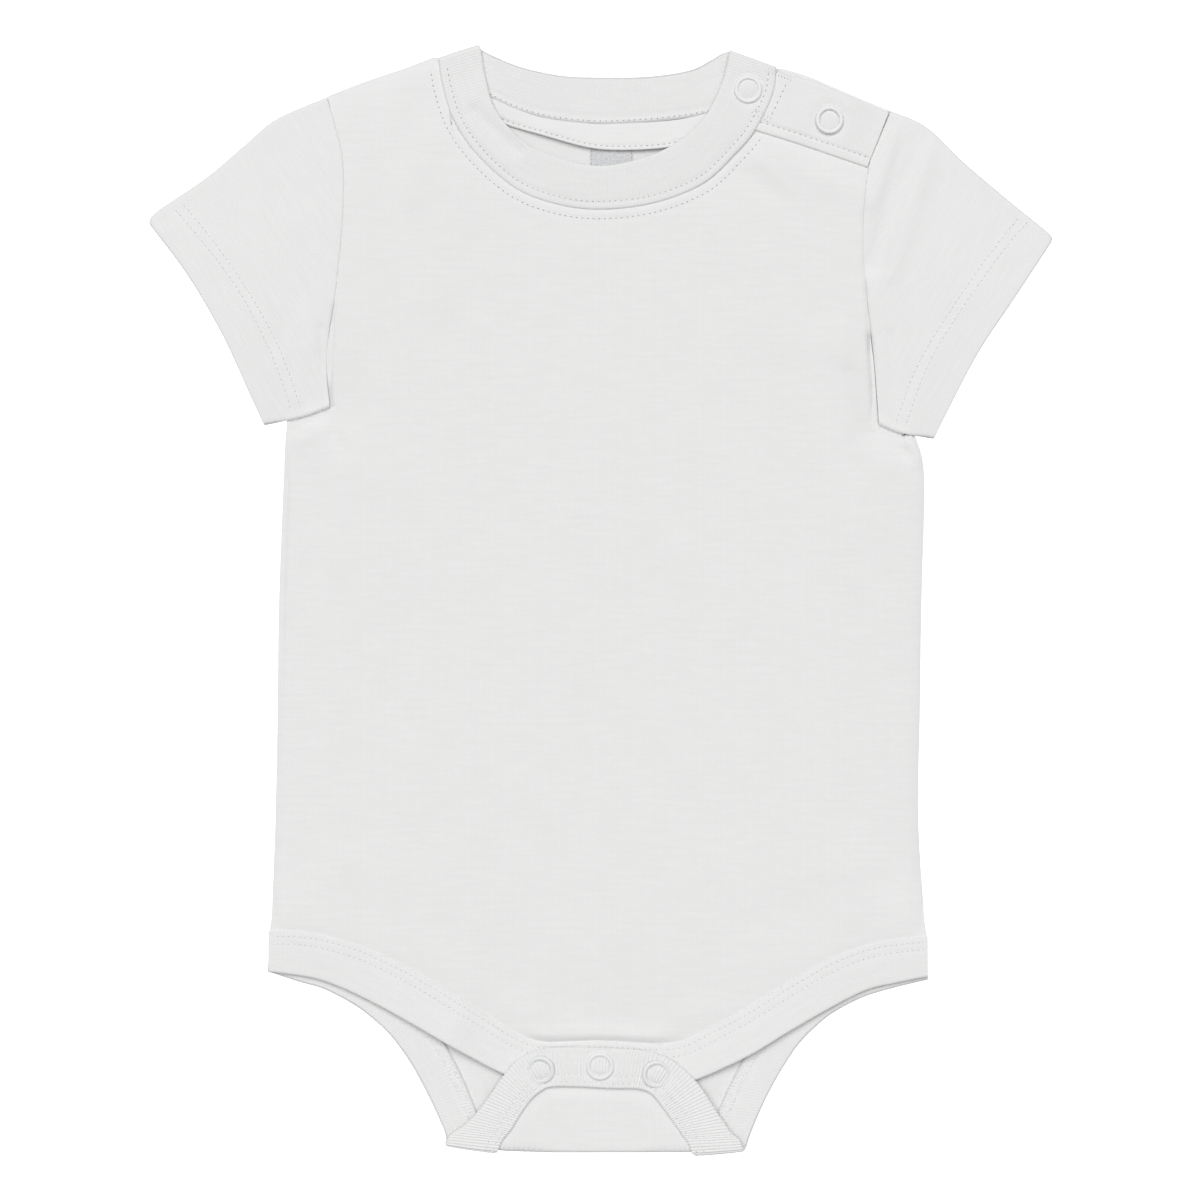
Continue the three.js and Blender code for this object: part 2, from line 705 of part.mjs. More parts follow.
function turned(profile) {
  const points = profile.map(([radius, height]) => new THREE.Vector2(radius, height));
  const lathe = new THREE.LatheGeometry(points, snapSegments).rotateX(Math.PI / 2);
  lathe.deleteAttribute('normal');
  lathe.deleteAttribute('uv');
  const merged = mergeVertices(lathe);
  const position = merged.attributes.position;
  const vertices = Array.from({ length: position.count }, (_, i) =>
    new THREE.Vector3().fromBufferAttribute(position, i));
  const faces = [];
  for (let i = 0; i < merged.index.count; i += 3) {
    const face = [0, 1, 2].map((corner) => merged.index.getX(i + corner));
    if (new Set(face).size === 3) faces.push(face);
  }
  return closedGeometry(vertices, faces);
}

function snapRing() {
  const [hole, rim] = [ringHole / 2, ringDiameter / 2];
  const rounding = 0.45;
  return turned([
    [hole, 0],
    [rim, 0],
    [rim, ringHeight - rounding],
    [rim - rounding, ringHeight],
    [hole + rounding, ringHeight],
    [hole, ringHeight - rounding],
    [hole, 0],
  ]);
}

function snapCore() {
  const rim = coreDiameter / 2;
  return turned([[0, 0], [rim, 0], [rim, coreHeight], [0, coreHeight]]);
}

const cloth = (color) => new THREE.MeshStandardMaterial({ color, roughness: 0.95, metalness: 0 });
const jerseyCloth = cloth(0xe8e8e7);
const ribCloth = cloth(0xe4e4e3);
const tapeCloth = cloth(0xdededd);
const labelCloth = cloth(0xc4c5c6);
const snapPlastic = new THREE.MeshStandardMaterial({ color: 0xf1f1f0, roughness: 0.3, metalness: 0 });

const bodysuit = new THREE.Group();

function addPiece(name, geometry, material) {
  const mesh = new THREE.Mesh(geometry, material);
  mesh.name = name;
  bodysuit.add(mesh);
  return mesh;
}

addPiece('back_panel', backPanel(), jerseyCloth);
addPiece('front_panel', frontPanel(), jerseyCloth);
addPiece('sleeve_left', sleeve('left'), jerseyCloth);
addPiece('sleeve_right', sleeve('right'), jerseyCloth);
addPiece('neckband', neckband(), ribCloth);
addPiece('neck_tape', neckTape(), tapeCloth);
addPiece('size_label', sizeLabel(), labelCloth);
addPiece('placket_back', placketBack(), jerseyCloth);
addPiece('placket_front', placketFront(), jerseyCloth);
addPiece('leg_binding_front', legBindingFront(), ribCloth);
addPiece('leg_binding_back', legBindingBack(), ribCloth);
for (const [place, { x, y, coreBase, ringBase }] of Object.entries(snaps)) {
  addPiece(`snap_core_${place}`, snapCore(), snapPlastic).position.set(x, y, coreBase);
  addPiece(`snap_ring_${place}`, snapRing(), snapPlastic).position.set(x, y, ringBase + seamGap);
}

export default bodysuit;
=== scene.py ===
import math
import random

import bmesh
import bpy
import numpy as np
from mathutils import Matrix, Vector
from mathutils.bvhtree import BVHTree


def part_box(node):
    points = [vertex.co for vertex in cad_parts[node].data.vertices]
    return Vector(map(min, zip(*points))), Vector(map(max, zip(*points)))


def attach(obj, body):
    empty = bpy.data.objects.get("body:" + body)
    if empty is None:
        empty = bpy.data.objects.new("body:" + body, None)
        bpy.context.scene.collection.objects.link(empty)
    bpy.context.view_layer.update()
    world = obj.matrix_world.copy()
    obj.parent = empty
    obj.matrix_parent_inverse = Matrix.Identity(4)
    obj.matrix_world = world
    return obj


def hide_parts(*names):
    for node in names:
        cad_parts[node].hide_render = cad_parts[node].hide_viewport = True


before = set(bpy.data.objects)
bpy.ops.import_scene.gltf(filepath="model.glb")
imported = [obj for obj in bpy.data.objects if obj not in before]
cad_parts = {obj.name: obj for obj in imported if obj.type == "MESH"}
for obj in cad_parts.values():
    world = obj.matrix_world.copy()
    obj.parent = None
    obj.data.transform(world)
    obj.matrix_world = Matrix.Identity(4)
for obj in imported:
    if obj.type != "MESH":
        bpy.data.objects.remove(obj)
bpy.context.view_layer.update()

# Camera, floor and light. The garment lies on a white table and is seen from straight above with a
# long lens. The table looks paper white but throws less light back. A broad soft light comes from
# beyond the neck end, so that edges which face the flap go grey and throw short soft shadows.
PHOTO_SPAN = 0.444
PHOTO_LENS = 120
SENSOR_WIDTH = 36
FLOOR_SIZE = 12
FLOOR_DROP = 0.0004
FLOOR_GREY = 0.6
SKY_STRENGTH = 0.36
LIGHT_FROM = (-0.06, 0.34, 1.0)
LIGHT_SPREAD_DEGREES = 48
LIGHT_STRENGTH = 2.11

camera_data = bpy.data.cameras.new("overhead_camera")
camera_data.lens = PHOTO_LENS
camera_data.sensor_width = SENSOR_WIDTH
camera_data.clip_end = 20
camera = bpy.data.objects.new("overhead_camera", camera_data)
camera.location = (0, 0, PHOTO_SPAN * PHOTO_LENS / SENSOR_WIDTH)
bpy.context.scene.collection.objects.link(camera)
bpy.context.scene.camera = camera

bpy.context.scene.view_settings.view_transform = "Standard"
sky = bpy.data.worlds.new("studio")
sky.use_nodes = True
sky.node_tree.nodes["Background"].inputs["Color"].default_value = (1, 1, 1, 1)
sky.node_tree.nodes["Background"].inputs["Strength"].default_value = SKY_STRENGTH
bpy.context.scene.world = sky

lamp_data = bpy.data.lights.new("soft_light", "SUN")
lamp_data.angle = math.radians(LIGHT_SPREAD_DEGREES)
lamp_data.energy = LIGHT_STRENGTH
lamp = bpy.data.objects.new("soft_light", lamp_data)
lamp.location = LIGHT_FROM
lamp.rotation_mode = "QUATERNION"
lamp.rotation_quaternion = lamp.location.to_track_quat("Z", "Y")
bpy.context.scene.collection.objects.link(lamp)

floor_mesh = bmesh.new()
bmesh.ops.create_grid(floor_mesh, x_segments=1, y_segments=1, size=FLOOR_SIZE / 2)
bmesh.ops.translate(floor_mesh, verts=floor_mesh.verts, vec=(0, 0, -FLOOR_DROP))
floor_data = bpy.data.meshes.new("table_top")
floor_mesh.to_mesh(floor_data)
floor_mesh.free()
floor = bpy.data.objects.new("table_top", floor_data)
floor_paint = bpy.data.materials.new("table_white")
floor_paint.use_nodes = True
floor_shader = floor_paint.node_tree.nodes["Principled BSDF"]
floor_shader.inputs["Base Color"].default_value = (FLOOR_GREY, FLOOR_GREY, FLOOR_GREY, 1)
floor_shader.inputs["Roughness"].default_value = 0.9
floor_shader.inputs["Specular IOR Level"].default_value = 0
floor_shader.inputs["Emission Color"].default_value = (1, 1, 1, 1)
seen_by = floor_paint.node_tree.nodes.new("ShaderNodeLightPath")
floor_paint.node_tree.links.new(
    seen_by.outputs["Is Camera Ray"], floor_shader.inputs["Emission Strength"]
)
floor_data.materials.append(floor_paint)
bpy.context.scene.collection.objects.link(floor)


# Back panel: one piece of cotton jersey from the shoulders to the crotch, with the flap cut in one
# with it. It lies face down on the table, and the flap turns up at the fold and shows its outer
# face. Tables here are in millimetres, and left and right are the viewer's.
MM = 0.001
JERSEY = 0.7
RIB = 1.7
SEAM_SAMPLES = 400

sides = [
    # y, left x, right x
    (45, -116.8, 119.7),
    (0, -118.5, 118.7),
    (-40, -119.0, 118.1),
    (-80, -119.8, 117.5),
    (-115, -121.2, 119.6),
    (-122, -121.9, 120.2),
]
armholes = [
    # left x, left y, right x, right y
    (-101.0, 185.9, 107.5, 180.8),
    (-97.4, 174.0, 102.6, 169.6),
    (-94.8, 161.0, 99.0, 159.2),
    (-95.0, 140.0, 97.0, 138.0),
    (-97.6, 114.0, 98.3, 114.0),
    (-101.0, 90.0, 101.2, 88.0),
    (-99.8, 71.4, 103.0, 65.0),
]
sleeve_undersides = [
    # left x, left y, right x, right y
    (-99.8, 71.4, 103.0, 65.0),
    (-108.0, 68.3, 111.0, 61.7),
    (-116.8, 66.1, 119.5, 60.2),
    (-124.1, 64.6, 123.4, 59.6),
]
left_shoulder = [(-101.0, 185.9), (-85.7, 191.8), (-72.3, 196.3), (-60.4, 200.9)]
placket_back_top = [(106.8, 181.0), (97.0, 185.0), (87.0, 189.3), (76.0, 193.9), (66.5, 196.6)]
neck_back = [
    # seam x, seam y, free x, free y
    (-59.5, 198.5, -43.9, 203.5),
    (-50.5, 191.5, -38.5, 200.8),
    (-39.4, 185.0, -28.1, 196.8),
    (-24.0, 178.9, -13.9, 193.9),
    (-4.0, 176.0, 0.0, 193.3),
    (18.0, 176.6, 18.0, 193.6),
    (39.0, 179.4, 33.0, 195.9),
    (52.0, 184.5, 40.5, 199.4),
    (60.0, 190.5, 44.5, 201.8),
    (65.2, 196.6, 47.8, 202.9),
]
leg_back_left = [
    # free x, free y, seam x, seam y
    (-122.9, -137.4, -121.9, -122.6),
    (-111.2, -141.2, -107.5, -126.4),
    (-101.6, -144.1, -96.3, -130.0),
    (-90.5, -150.0, -82.4, -137.4),
    (-82.7, -156.0, -72.7, -144.9),
    (-76.8, -161.9, -65.0, -152.5),
    (-70.4, -170.8, -57.4, -163.8),
    (-64.0, -182.6, -50.6, -176.6),
    (-58.9, -194.4, -44.6, -191.4),
    (-57.0, -201.0, -40.4, -201.0),
]
flap_edge = [
    # free x, free y, seam x, seam y, where they lie once the flap is folded up
    (-56.2, -200.4, -36.4, -200.8),
    (-48.0, -192.0, -32.6, -195.4),
    (-42.0, -184.5, -29.2, -189.8),
    (-36.1, -175.9, -25.7, -184.8),
    (-30.0, -169.3, -21.8, -181.3),
    (-20.9, -165.4, -17.8, -179.6),
    (-7.7, -164.8, -7.7, -179.6),
    (6.4, -165.2, 4.5, -180.2),
    (16.8, -166.1, 13.9, -180.4),
    (26.5, -169.6, 18.8, -182.2),
    (35.5, -177.4, 22.8, -187.0),
    (42.4, -187.4, 26.9, -192.6),
    (48.3, -196.3, 30.4, -197.6),
    (52.0, -200.6, 32.6, -200.8),
]
leg_back_right = [
    # free x, free y, seam x, seam y
    (54.9, -201.0, 37.4, -201.0),
    (58.3, -191.5, 43.0, -189.8),
    (62.3, -182.6, 47.6, -179.6),
    (67.2, -173.7, 53.0, -169.5),
    (73.1, -164.8, 60.4, -157.5),
    (78.6, -158.9, 67.4, -149.0),
    (85.7, -153.0, 76.8, -141.0),
    (96.8, -147.1, 90.7, -133.5),
    (108.0, -143.6, 104.7, -128.8),
    (121.3, -140.4, 120.2, -125.2),
]

fold_drawn_up = [
    # x, how far the fold there lies above the lowest point of the garment
    (-58, 4.0),
    (-51.6, 2.4),
    (-40.5, 1.2),
    (-34.0, 0.5),
    (-18.0, 0.0),
    (38.0, 0.0),
    (47.5, 0.4),
    (54.0, 1.9),
]


def smooth_points(rows, shares):
    """Points of the smooth line through a table's rows, at shares of the way along the table."""
    rows = np.asarray(rows, float)
    place = np.clip(shares, 0, 1) * (len(rows) - 1)
    start = np.minimum(place.astype(int), len(rows) - 2)
    part = (place - start)[..., None]
    here, after = rows[start], rows[start + 1]
    lean_here = (after - rows[np.maximum(start - 1, 0)]) / 2
    lean_after = (rows[np.minimum(start + 2, len(rows) - 1)] - here) / 2
    cubic = (2 * here - 2 * after + lean_here + lean_after) * part**3
    square = (3 * after - 3 * here - 2 * lean_here - lean_after) * part**2
    return cubic + square + lean_here * part + here


def run_along(points):
    """Distance along a row of points, from the first to each."""
    steps = np.linalg.norm(np.diff(points, axis=0), axis=1)
    return np.concatenate([[0], np.cumsum(steps)])


def seam_line(rows):
    """The smooth line through a table's rows as many points at even distances."""
    dense = smooth_points(rows, np.linspace(0, 1, 2001))
    run = run_along(dense)
    even = np.linspace(0, run[-1], SEAM_SAMPLES)
    return np.stack([np.interp(even, run, dense[:, axis]) for axis in range(dense.shape[1])], axis=1)


def at_share(line, shares):
    """Points at shares of the way along a line of evenly spaced points."""
    places = np.linspace(0, 1, len(line))
    return np.stack([np.interp(shares, places, line[:, axis]) for axis in range(line.shape[1])], axis=-1)


def spread(line, count):
    """A line again with a number of points at even distances."""
    run = run_along(line)
    even = np.linspace(0, run[-1], count)
    return np.stack([np.interp(even, run, line[:, axis]) for axis in range(2)], axis=1)


def chain(*lines):
    """Lines end to end as one, with evenly spaced points."""
    return spread(np.concatenate([lines[0]] + [line[1:] for line in lines[1:]]), 2 * SEAM_SAMPLES)


def patch(bottom, top, left, right, u, v):
    """Points of a cloth patch that fills four lines, u from left to right and v from bottom to top."""
    u, v = u[..., None], v[..., None]
    ruled = (1 - v) * at_share(bottom, u[..., 0]) + v * at_share(top, u[..., 0])
    ruled = ruled + (1 - u) * at_share(left, v[..., 0]) + u * at_share(right, v[..., 0])
    low = (1 - u) * (1 - v) * bottom[0] + u * (1 - v) * bottom[-1]
    return ruled - low - (1 - u) * v * top[0] - u * v * top[-1]


def distance_to(line, x, y, step=5):
    """Distance of each point to a line of many points, taken every few of them."""
    corners = line[::step]
    if not np.array_equal(corners[-1], line[-1]):
        corners = np.concatenate([corners, line[-1:]])
    nearest = np.full(x.shape, np.inf)
    for (ax, ay), (bx, by) in zip(corners[:-1], corners[1:]):
        run_x, run_y = bx - ax, by - ay
        share = np.clip(((x - ax) * run_x + (y - ay) * run_y) / (run_x**2 + run_y**2), 0, 1)
        nearest = np.minimum(nearest, np.hypot(x - ax - share * run_x, y - ay - share * run_y))
    return nearest


def ramp(value, low, high):
    """Smooth step from 0 at low to 1 at high."""
    share = np.clip((value - low) / (high - low), 0, 1)
    return share * share * (3 - 2 * share)


def row_shares(count, rows, shares):
    """Shares for a grid's lines that come to the given shares at the given parts of the lines."""
    lines = np.arange(count + 1)
    knots = [0, *(round(count * row) for row in rows), count]
    return np.interp(lines, knots, [0, *shares, 1])


def grid_shares(count, edge_cells, edge_share):
    """Shares from 0 to 1 for a grid's lines: a very thin cell and some fine cells at each end."""
    knots = [0, 1 / count, edge_cells / count]
    shares = [0, edge_share / 30, edge_share]
    ends = [1 - share for share in reversed(shares)]
    return np.interp(
        np.arange(count + 1) / count, [*knots, *(1 - knot for knot in reversed(knots))], [*shares, *ends]
    )


def cloth_from_grid(name, points, cloth_place, closed=False, turned=False):
    """Mesh object on a grid of points in millimetres. cloth_place says where each point lies on the
    cloth, across and along its wales. A closed grid's last column meets its first, and its open
    ends are filled. Turning the grid turns its faces over."""
    if turned:
        points, cloth_place = points[:, ::-1], cloth_place[:, ::-1]
    rows, columns = points.shape[0] - 1, points.shape[1] - 1
    mesh = bmesh.new()
    bmesh.ops.create_grid(mesh, x_segments=columns, y_segments=rows, size=0.5)
    mesh.loops.layers.uv.new("cloth")
    data = bpy.data.meshes.new(name)
    mesh.to_mesh(data)
    mesh.free()
    unit = np.empty(3 * len(data.vertices), np.float32)
    data.vertices.foreach_get("co", unit)
    unit = unit.reshape(-1, 3)
    column = np.rint((unit[:, 0] + 0.5) * columns).astype(int)
    row = np.rint((unit[:, 1] + 0.5) * rows).astype(int)
    corners = np.empty(len(data.loops), int)
    data.loops.foreach_get("vertex_index", corners)
    data.uv_layers["cloth"].data.foreach_set("uv", (cloth_place[row, column][corners] * MM).ravel())
    data.vertices.foreach_set("co", (points[row, column] * MM).ravel())
    data.polygons.foreach_set("use_smooth", np.ones(len(data.polygons), bool))
    if closed:
        mesh = bmesh.new()
        mesh.from_mesh(data)
        bmesh.ops.remove_doubles(mesh, verts=mesh.verts, dist=1e-7)
        bmesh.ops.holes_fill(mesh, edges=[edge for edge in mesh.edges if edge.is_boundary], sides=0)
        mesh.to_mesh(data)
        mesh.free()
    piece = bpy.data.objects.new(name, data)
    bpy.context.scene.collection.objects.link(piece)
    return piece


def lay_cloth(piece, node, material):
    """Gives a cloth piece its material, hides its node's part and hangs the piece from the root body."""
    piece.data.materials.append(material)
    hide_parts(node)
    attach(piece, "root")


def give_wall(piece, thickness, offset=-1):
    """Gives a sheet its thickness, downwards from its outer face, or half each way at offset 0."""
    solidify = piece.modifiers.new("wall", "SOLIDIFY")
    solidify.thickness = thickness * MM
    solidify.offset = offset
    solidify.use_even_offset = False


seams = {}
UNDERARM_ON_BODY = 0.665
EDGE_CORNERS = (0.56, 0.6)
for number, side in enumerate(("left", "right")):
    seams[side] = {
        "rows": [(row[1 + number], row[0]) for row in sides],
        "armhole": seam_line([row[2 * number:2 * number + 2] for row in armholes]),
        "underarm": seam_line([row[2 * number:2 * number + 2] for row in sleeve_undersides]),
    }


def body_edge(side, leg_end, top_end=None):
    """A panel's edge from the leg seam up the side, round the underarm and up the armhole. Both
    corners of the underarm come at the same shares of the edge on either side."""
    lines = seams[side]
    corner = lines["underarm"][:int(SEAM_SAMPLES * UNDERARM_ON_BODY)][::-1]
    straight = seam_line([corner[0], *lines["rows"][:-1], leg_end])
    hole = lines["armhole"][::-1]
    if top_end is not None:
        hole = np.concatenate([hole[hole[:, 1] < top_end[1] - 1], [top_end]])
    counts = [round(2 * SEAM_SAMPLES * share) for share in np.diff([0, *EDGE_CORNERS, 1])]
    parts = [spread(line, count + 1) for line, count in zip((straight[::-1], corner, hole), counts)]
    return np.concatenate([parts[0], parts[1][1:], parts[2][1:]])


shoulder = seam_line(left_shoulder)
placket_top = seam_line(placket_back_top)
neck_back_seam = seam_line([row[:2] for row in neck_back])

flap_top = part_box("leg_binding_back")[1].z / MM
fold_radius = flap_top / 2
fold_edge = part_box("back_panel")[0].y / MM
fold_centre = fold_edge + fold_radius
fold_arc = math.pi * fold_radius
FOLD_SQUARENESS = 0.667


def unfolded(rows):
    """Rows of the folded-up flap, measured along the cloth's outer face from the fold on down."""
    return [(x, 2 * fold_centre - fold_arc - y) for x, y in rows]


def folded_up(x, y, depth):
    """Where cloth of the flat cut lies once the flap is folded up. depth is into the cloth."""
    beyond = np.clip(fold_centre - y, 0, None)
    angle = np.clip(beyond / fold_radius, 0, math.pi)
    reach = fold_radius - depth
    upper = np.clip(beyond - fold_arc, 0, None)
    lower = np.clip(y - fold_centre, 0, None)
    outward = np.sin(angle) ** FOLD_SQUARENESS
    downward = np.sign(np.cos(angle)) * np.abs(np.cos(angle)) ** FOLD_SQUARENESS
    place_y = fold_centre + lower + upper - reach * outward
    return np.stack([x, place_y, fold_radius - reach * downward], axis=-1)


def draw_up(points):
    """Points with the fold's edge drawn up unevenly along it."""
    raised_by = np.interp(points[..., 0], *zip(*fold_drawn_up))
    points[..., 1] += raised_by * np.exp(-(points[..., 1] - fold_edge) / FOLD_REACH)
    return points


leg_back_seam_rows = [row[2:] for row in leg_back_left]
leg_back_seam_rows += unfolded([row[2:] for row in flap_edge])
leg_back_seam_rows += [row[2:] for row in leg_back_right]
leg_back_free_rows = [row[:2] for row in leg_back_left]
leg_back_free_rows += unfolded([row[:2] for row in flap_edge])
leg_back_free_rows += [row[:2] for row in leg_back_right]
leg_back_seam = seam_line(leg_back_seam_rows)
leg_back_free = seam_line(leg_back_free_rows)
SEWN_IN = 1.6


def sewn_in(seam, towards, depth=SEWN_IN):
    """A panel's edge line, let into the band that is sewn over it."""
    across = towards - seam
    return seam + across * depth / np.linalg.norm(across, axis=1)[:, None]


neck_back_edge = sewn_in(neck_back_seam, seam_line([row[2:] for row in neck_back]), 0.8)
back_top = chain(shoulder, neck_back_edge, placket_top[::-1])

BACK_COLUMNS = 120
BACK_ROWS = 250
FLAP_SINK = 1.25
FOLD_REACH = 9
FLAP_TROUGH = 0.5
FLAP_TROUGH_AT = 0.8
FLAP_TROUGH_REACH = 2.0
FLAP_TROUGH_ENDS = (-22, 20)

back_u, back_v = np.meshgrid(
    grid_shares(BACK_COLUMNS, 4, 0.008),
    row_shares(BACK_ROWS, [0.3, 0.7, 0.75, 0.97], [0.16, *EDGE_CORNERS, 0.99]),
)
back_leg_edge = sewn_in(leg_back_seam, leg_back_free)
back_flat = patch(
    back_leg_edge,
    back_top,
    body_edge("left", back_leg_edge[0]),
    body_edge("right", back_leg_edge[-1]),
    back_u,
    back_v,
)
back_x, back_y = back_flat[..., 0], back_flat[..., 1]
from_leg_seam = distance_to(leg_back_seam, back_x, back_y)
on_flap = ramp(fold_centre - back_y, 0, fold_arc * 0.5)
in_middle = ramp(back_x, FLAP_TROUGH_ENDS[0] - 6, FLAP_TROUGH_ENDS[0] + 4)
in_middle = in_middle * (1 - ramp(back_x, FLAP_TROUGH_ENDS[1] - 4, FLAP_TROUGH_ENDS[1] + 6))
trough = np.exp(-(((from_leg_seam - FLAP_TROUGH_AT) / FLAP_TROUGH_REACH) ** 2))
sink = on_flap * (FLAP_SINK + in_middle * FLAP_TROUGH * trough)
back_points = draw_up(folded_up(back_x, back_y, sink))
back_panel = cloth_from_grid("back_panel_cloth", back_points, back_flat, turned=True)


def shader_group(name, inputs, outputs):
    """Empty shader group with float or vector inputs and the outputs given as (name, kind)."""
    group = bpy.data.node_groups.new(name, "ShaderNodeTree")
    for label, kind, value in inputs:
        made = group.interface.new_socket(label, in_out="INPUT", socket_type=kind)
        if value is not None:
            made.default_value = value
    for label, kind in outputs:
        group.interface.new_socket(label, in_out="OUTPUT", socket_type=kind)
    return group


def wire(tree, kind, settings=None, **inputs):
    """New node with its settings and its inputs, each a value or another node's output."""
    node = tree.nodes.new(kind)
    for key, value in (settings or {}).items():
        setattr(node, key, value)
    for key, value in inputs.items():
        index = int(key[1:]) if key[1:].isdigit() else key.replace("_", " ")
        if isinstance(value, bpy.types.NodeSocket):
            tree.links.new(value, node.inputs[index])
        else:
            node.inputs[index].default_value = value
    return node


def maths(tree, operation, first, second=0.0):
    """Output of a math node."""
    return wire(tree, "ShaderNodeMath", {"operation": operation}, _0=first, _1=second).outputs[0]


# Jersey knit: fine wales that run along the cloth, small loops across them, slubs that lie across
# the wales, and a little fuzz. Puts out a height and a shade that multiplies the colour: random
# slub, fuzz and patch tone, and painted shade that darkens the valleys between the wales.
jersey_knit = shader_group(
    "JerseyKnit",
    [
        ("Cloth", "NodeSocketVector", None),
        ("Wale", "NodeSocketFloat", 0.0008),
        ("Wale Rise", "NodeSocketFloat", 0.22),
        ("Loop Rise", "NodeSocketFloat", 0.07),
        ("Fuzz", "NodeSocketFloat", 0.4),
    ],
    [("Height", "NodeSocketFloat"), ("Shade", "NodeSocketFloat")],
)
knit_in = jersey_knit.nodes.new("NodeGroupInput")
knit_out = jersey_knit.nodes.new("NodeGroupOutput")
cloth_place = knit_in.outputs["Cloth"]
wander = wire(jersey_knit, "ShaderNodeTexNoise", Vector=cloth_place, Scale=260.0, Detail=2.0)
split = wire(jersey_knit, "ShaderNodeSeparateXYZ", Vector=cloth_place)
bend = maths(jersey_knit, "MULTIPLY", maths(jersey_knit, "SUBTRACT", wander.outputs[0], 0.5), 0.00055)
bent_place = maths(jersey_knit, "ADD", split.outputs[0], bend)
wale_place = maths(jersey_knit, "DIVIDE", bent_place, knit_in.outputs["Wale"])
wale_wave = maths(jersey_knit, "COSINE", maths(jersey_knit, "MULTIPLY", wale_place, 2 * math.pi))
loop_length = maths(jersey_knit, "MULTIPLY", knit_in.outputs["Wale"], 0.72)
lean = maths(jersey_knit, "MULTIPLY", maths(jersey_knit, "PINGPONG", wale_place, 0.5), 0.9)
loop_place = maths(jersey_knit, "ADD", maths(jersey_knit, "DIVIDE", split.outputs[1], loop_length), lean)
loop_wave = maths(jersey_knit, "COSINE", maths(jersey_knit, "MULTIPLY", loop_place, 2 * math.pi))
knit_height = maths(
    jersey_knit, "ADD",
    maths(jersey_knit, "MULTIPLY", wale_wave, knit_in.outputs["Wale Rise"]),
    maths(jersey_knit, "MULTIPLY", loop_wave, knit_in.outputs["Loop Rise"]),
)
stretch = wire(jersey_knit, "ShaderNodeMapping", Vector=cloth_place, Scale=(80.0, 640.0, 1.0))
slub = wire(
    jersey_knit, "ShaderNodeTexNoise", Vector=stretch.outputs[0], Scale=1.0, Detail=3.0, Roughness=0.6
)
fuzz = wire(jersey_knit, "ShaderNodeTexNoise", Vector=cloth_place, Scale=1300.0, Detail=2.0)
patchy = wire(jersey_knit, "ShaderNodeTexNoise", Vector=cloth_place, Scale=70.0, Detail=3.0)
slub_part = maths(jersey_knit, "SUBTRACT", slub.outputs[0], 0.5)
fuzz_part = maths(jersey_knit, "SUBTRACT", fuzz.outputs[0], 0.5)
height_sum = maths(jersey_knit, "ADD", knit_height, maths(jersey_knit, "MULTIPLY", slub_part, 0.9))
fuzz_height = maths(jersey_knit, "MULTIPLY", fuzz_part, knit_in.outputs["Fuzz"])
height_sum = maths(jersey_knit, "ADD", height_sum, fuzz_height)
jersey_knit.links.new(height_sum, knit_out.inputs["Height"])
shade = maths(jersey_knit, "ADD", 1.0, maths(jersey_knit, "MULTIPLY", slub_part, 0.075))
shade = maths(jersey_knit, "ADD", shade, maths(jersey_knit, "MULTIPLY", fuzz_part, 0.035))
# Painted shade: the valleys between the wales are a little darker and the wale tops a little lighter.
shade = maths(jersey_knit, "ADD", shade, maths(jersey_knit, "MULTIPLY", wale_wave, 0.008))
patch_part = maths(jersey_knit, "SUBTRACT", patchy.outputs[0], 0.5)
shade = maths(jersey_knit, "ADD", shade, maths(jersey_knit, "MULTIPLY", patch_part, 0.03))
jersey_knit.links.new(shade, knit_out.inputs["Shade"])

COTTON_WHITE = (0.815, 0.815, 0.812)
KNIT_DEPTH = 0.00009
JERSEY_PITCH = 0.8


def cotton_material(name, white, knit_group, wale, depth, **rises):
    """Matt cotton whose colour and bump follow a knit group laid on the piece's cloth map."""
    material = bpy.data.materials.new(name)
    material.use_nodes = True
    tree = material.node_tree
    shader = tree.nodes["Principled BSDF"]
    shader.inputs["Roughness"].default_value = 0.92
    shader.inputs["Specular IOR Level"].default_value = 0.2
    shader.inputs["Sheen Weight"].default_value = 0.08
    shader.inputs["Sheen Roughness"].default_value = 0.6
    cloth_map = wire(tree, "ShaderNodeUVMap", {"uv_map": "cloth"})
    knit = tree.nodes.new("ShaderNodeGroup")
    knit.node_tree = knit_group
    knit.inputs["Wale"].default_value = wale * MM
    for label, value in rises.items():
        knit.inputs[label.replace("_", " ")].default_value = value
    tree.links.new(cloth_map.outputs[0], knit.inputs["Cloth"])
    tint = wire(tree, "ShaderNodeVectorMath", {"operation": "SCALE"}, _0=white, Scale=knit.outputs["Shade"])
    tree.links.new(tint.outputs[0], shader.inputs["Base Color"])
    bump = wire(tree, "ShaderNodeBump", Strength=1.0, Distance=depth, Height=knit.outputs["Height"])
    tree.links.new(bump.outputs[0], shader.inputs["Normal"])
    return material


jersey_cotton = cotton_material("white_jersey", COTTON_WHITE, jersey_knit, JERSEY_PITCH, KNIT_DEPTH)
give_wall(back_panel, JERSEY)
lay_cloth(
    back_panel, "back_panel", jersey_cotton
)


# Front panel: one piece of jersey from the shoulders to the leg seams, sewn to the back down the
# sides. It lies on the back, a little higher in its middle, turns down at the side seams and dips
# into each seam. Its folds are given one by one.
EDGE_REST = 0.85
EDGE_ROLL = 1.15
EDGE_ROLL_REACH = 2.6
FRONT_BASE = 1.3
BULGE_OVER_FLAP = 0.9
BAND_WALL = 1.7
NECK_LEAST = 2.1
NECK_MIDDLE = 2.65
NECK_SNAP = 3.25
PLACKET_REST = 2.8
BODY_ROW = 3.3
CROWN = 1.45
CROWN_REACH = 45
LEG_LIFT_FROM = 40
LEG_LIFT_TO = 50
LEG_LIFT_REACH = 28
SIDE_LINE = 0.45
UNDERARM_LEAST = 1.5

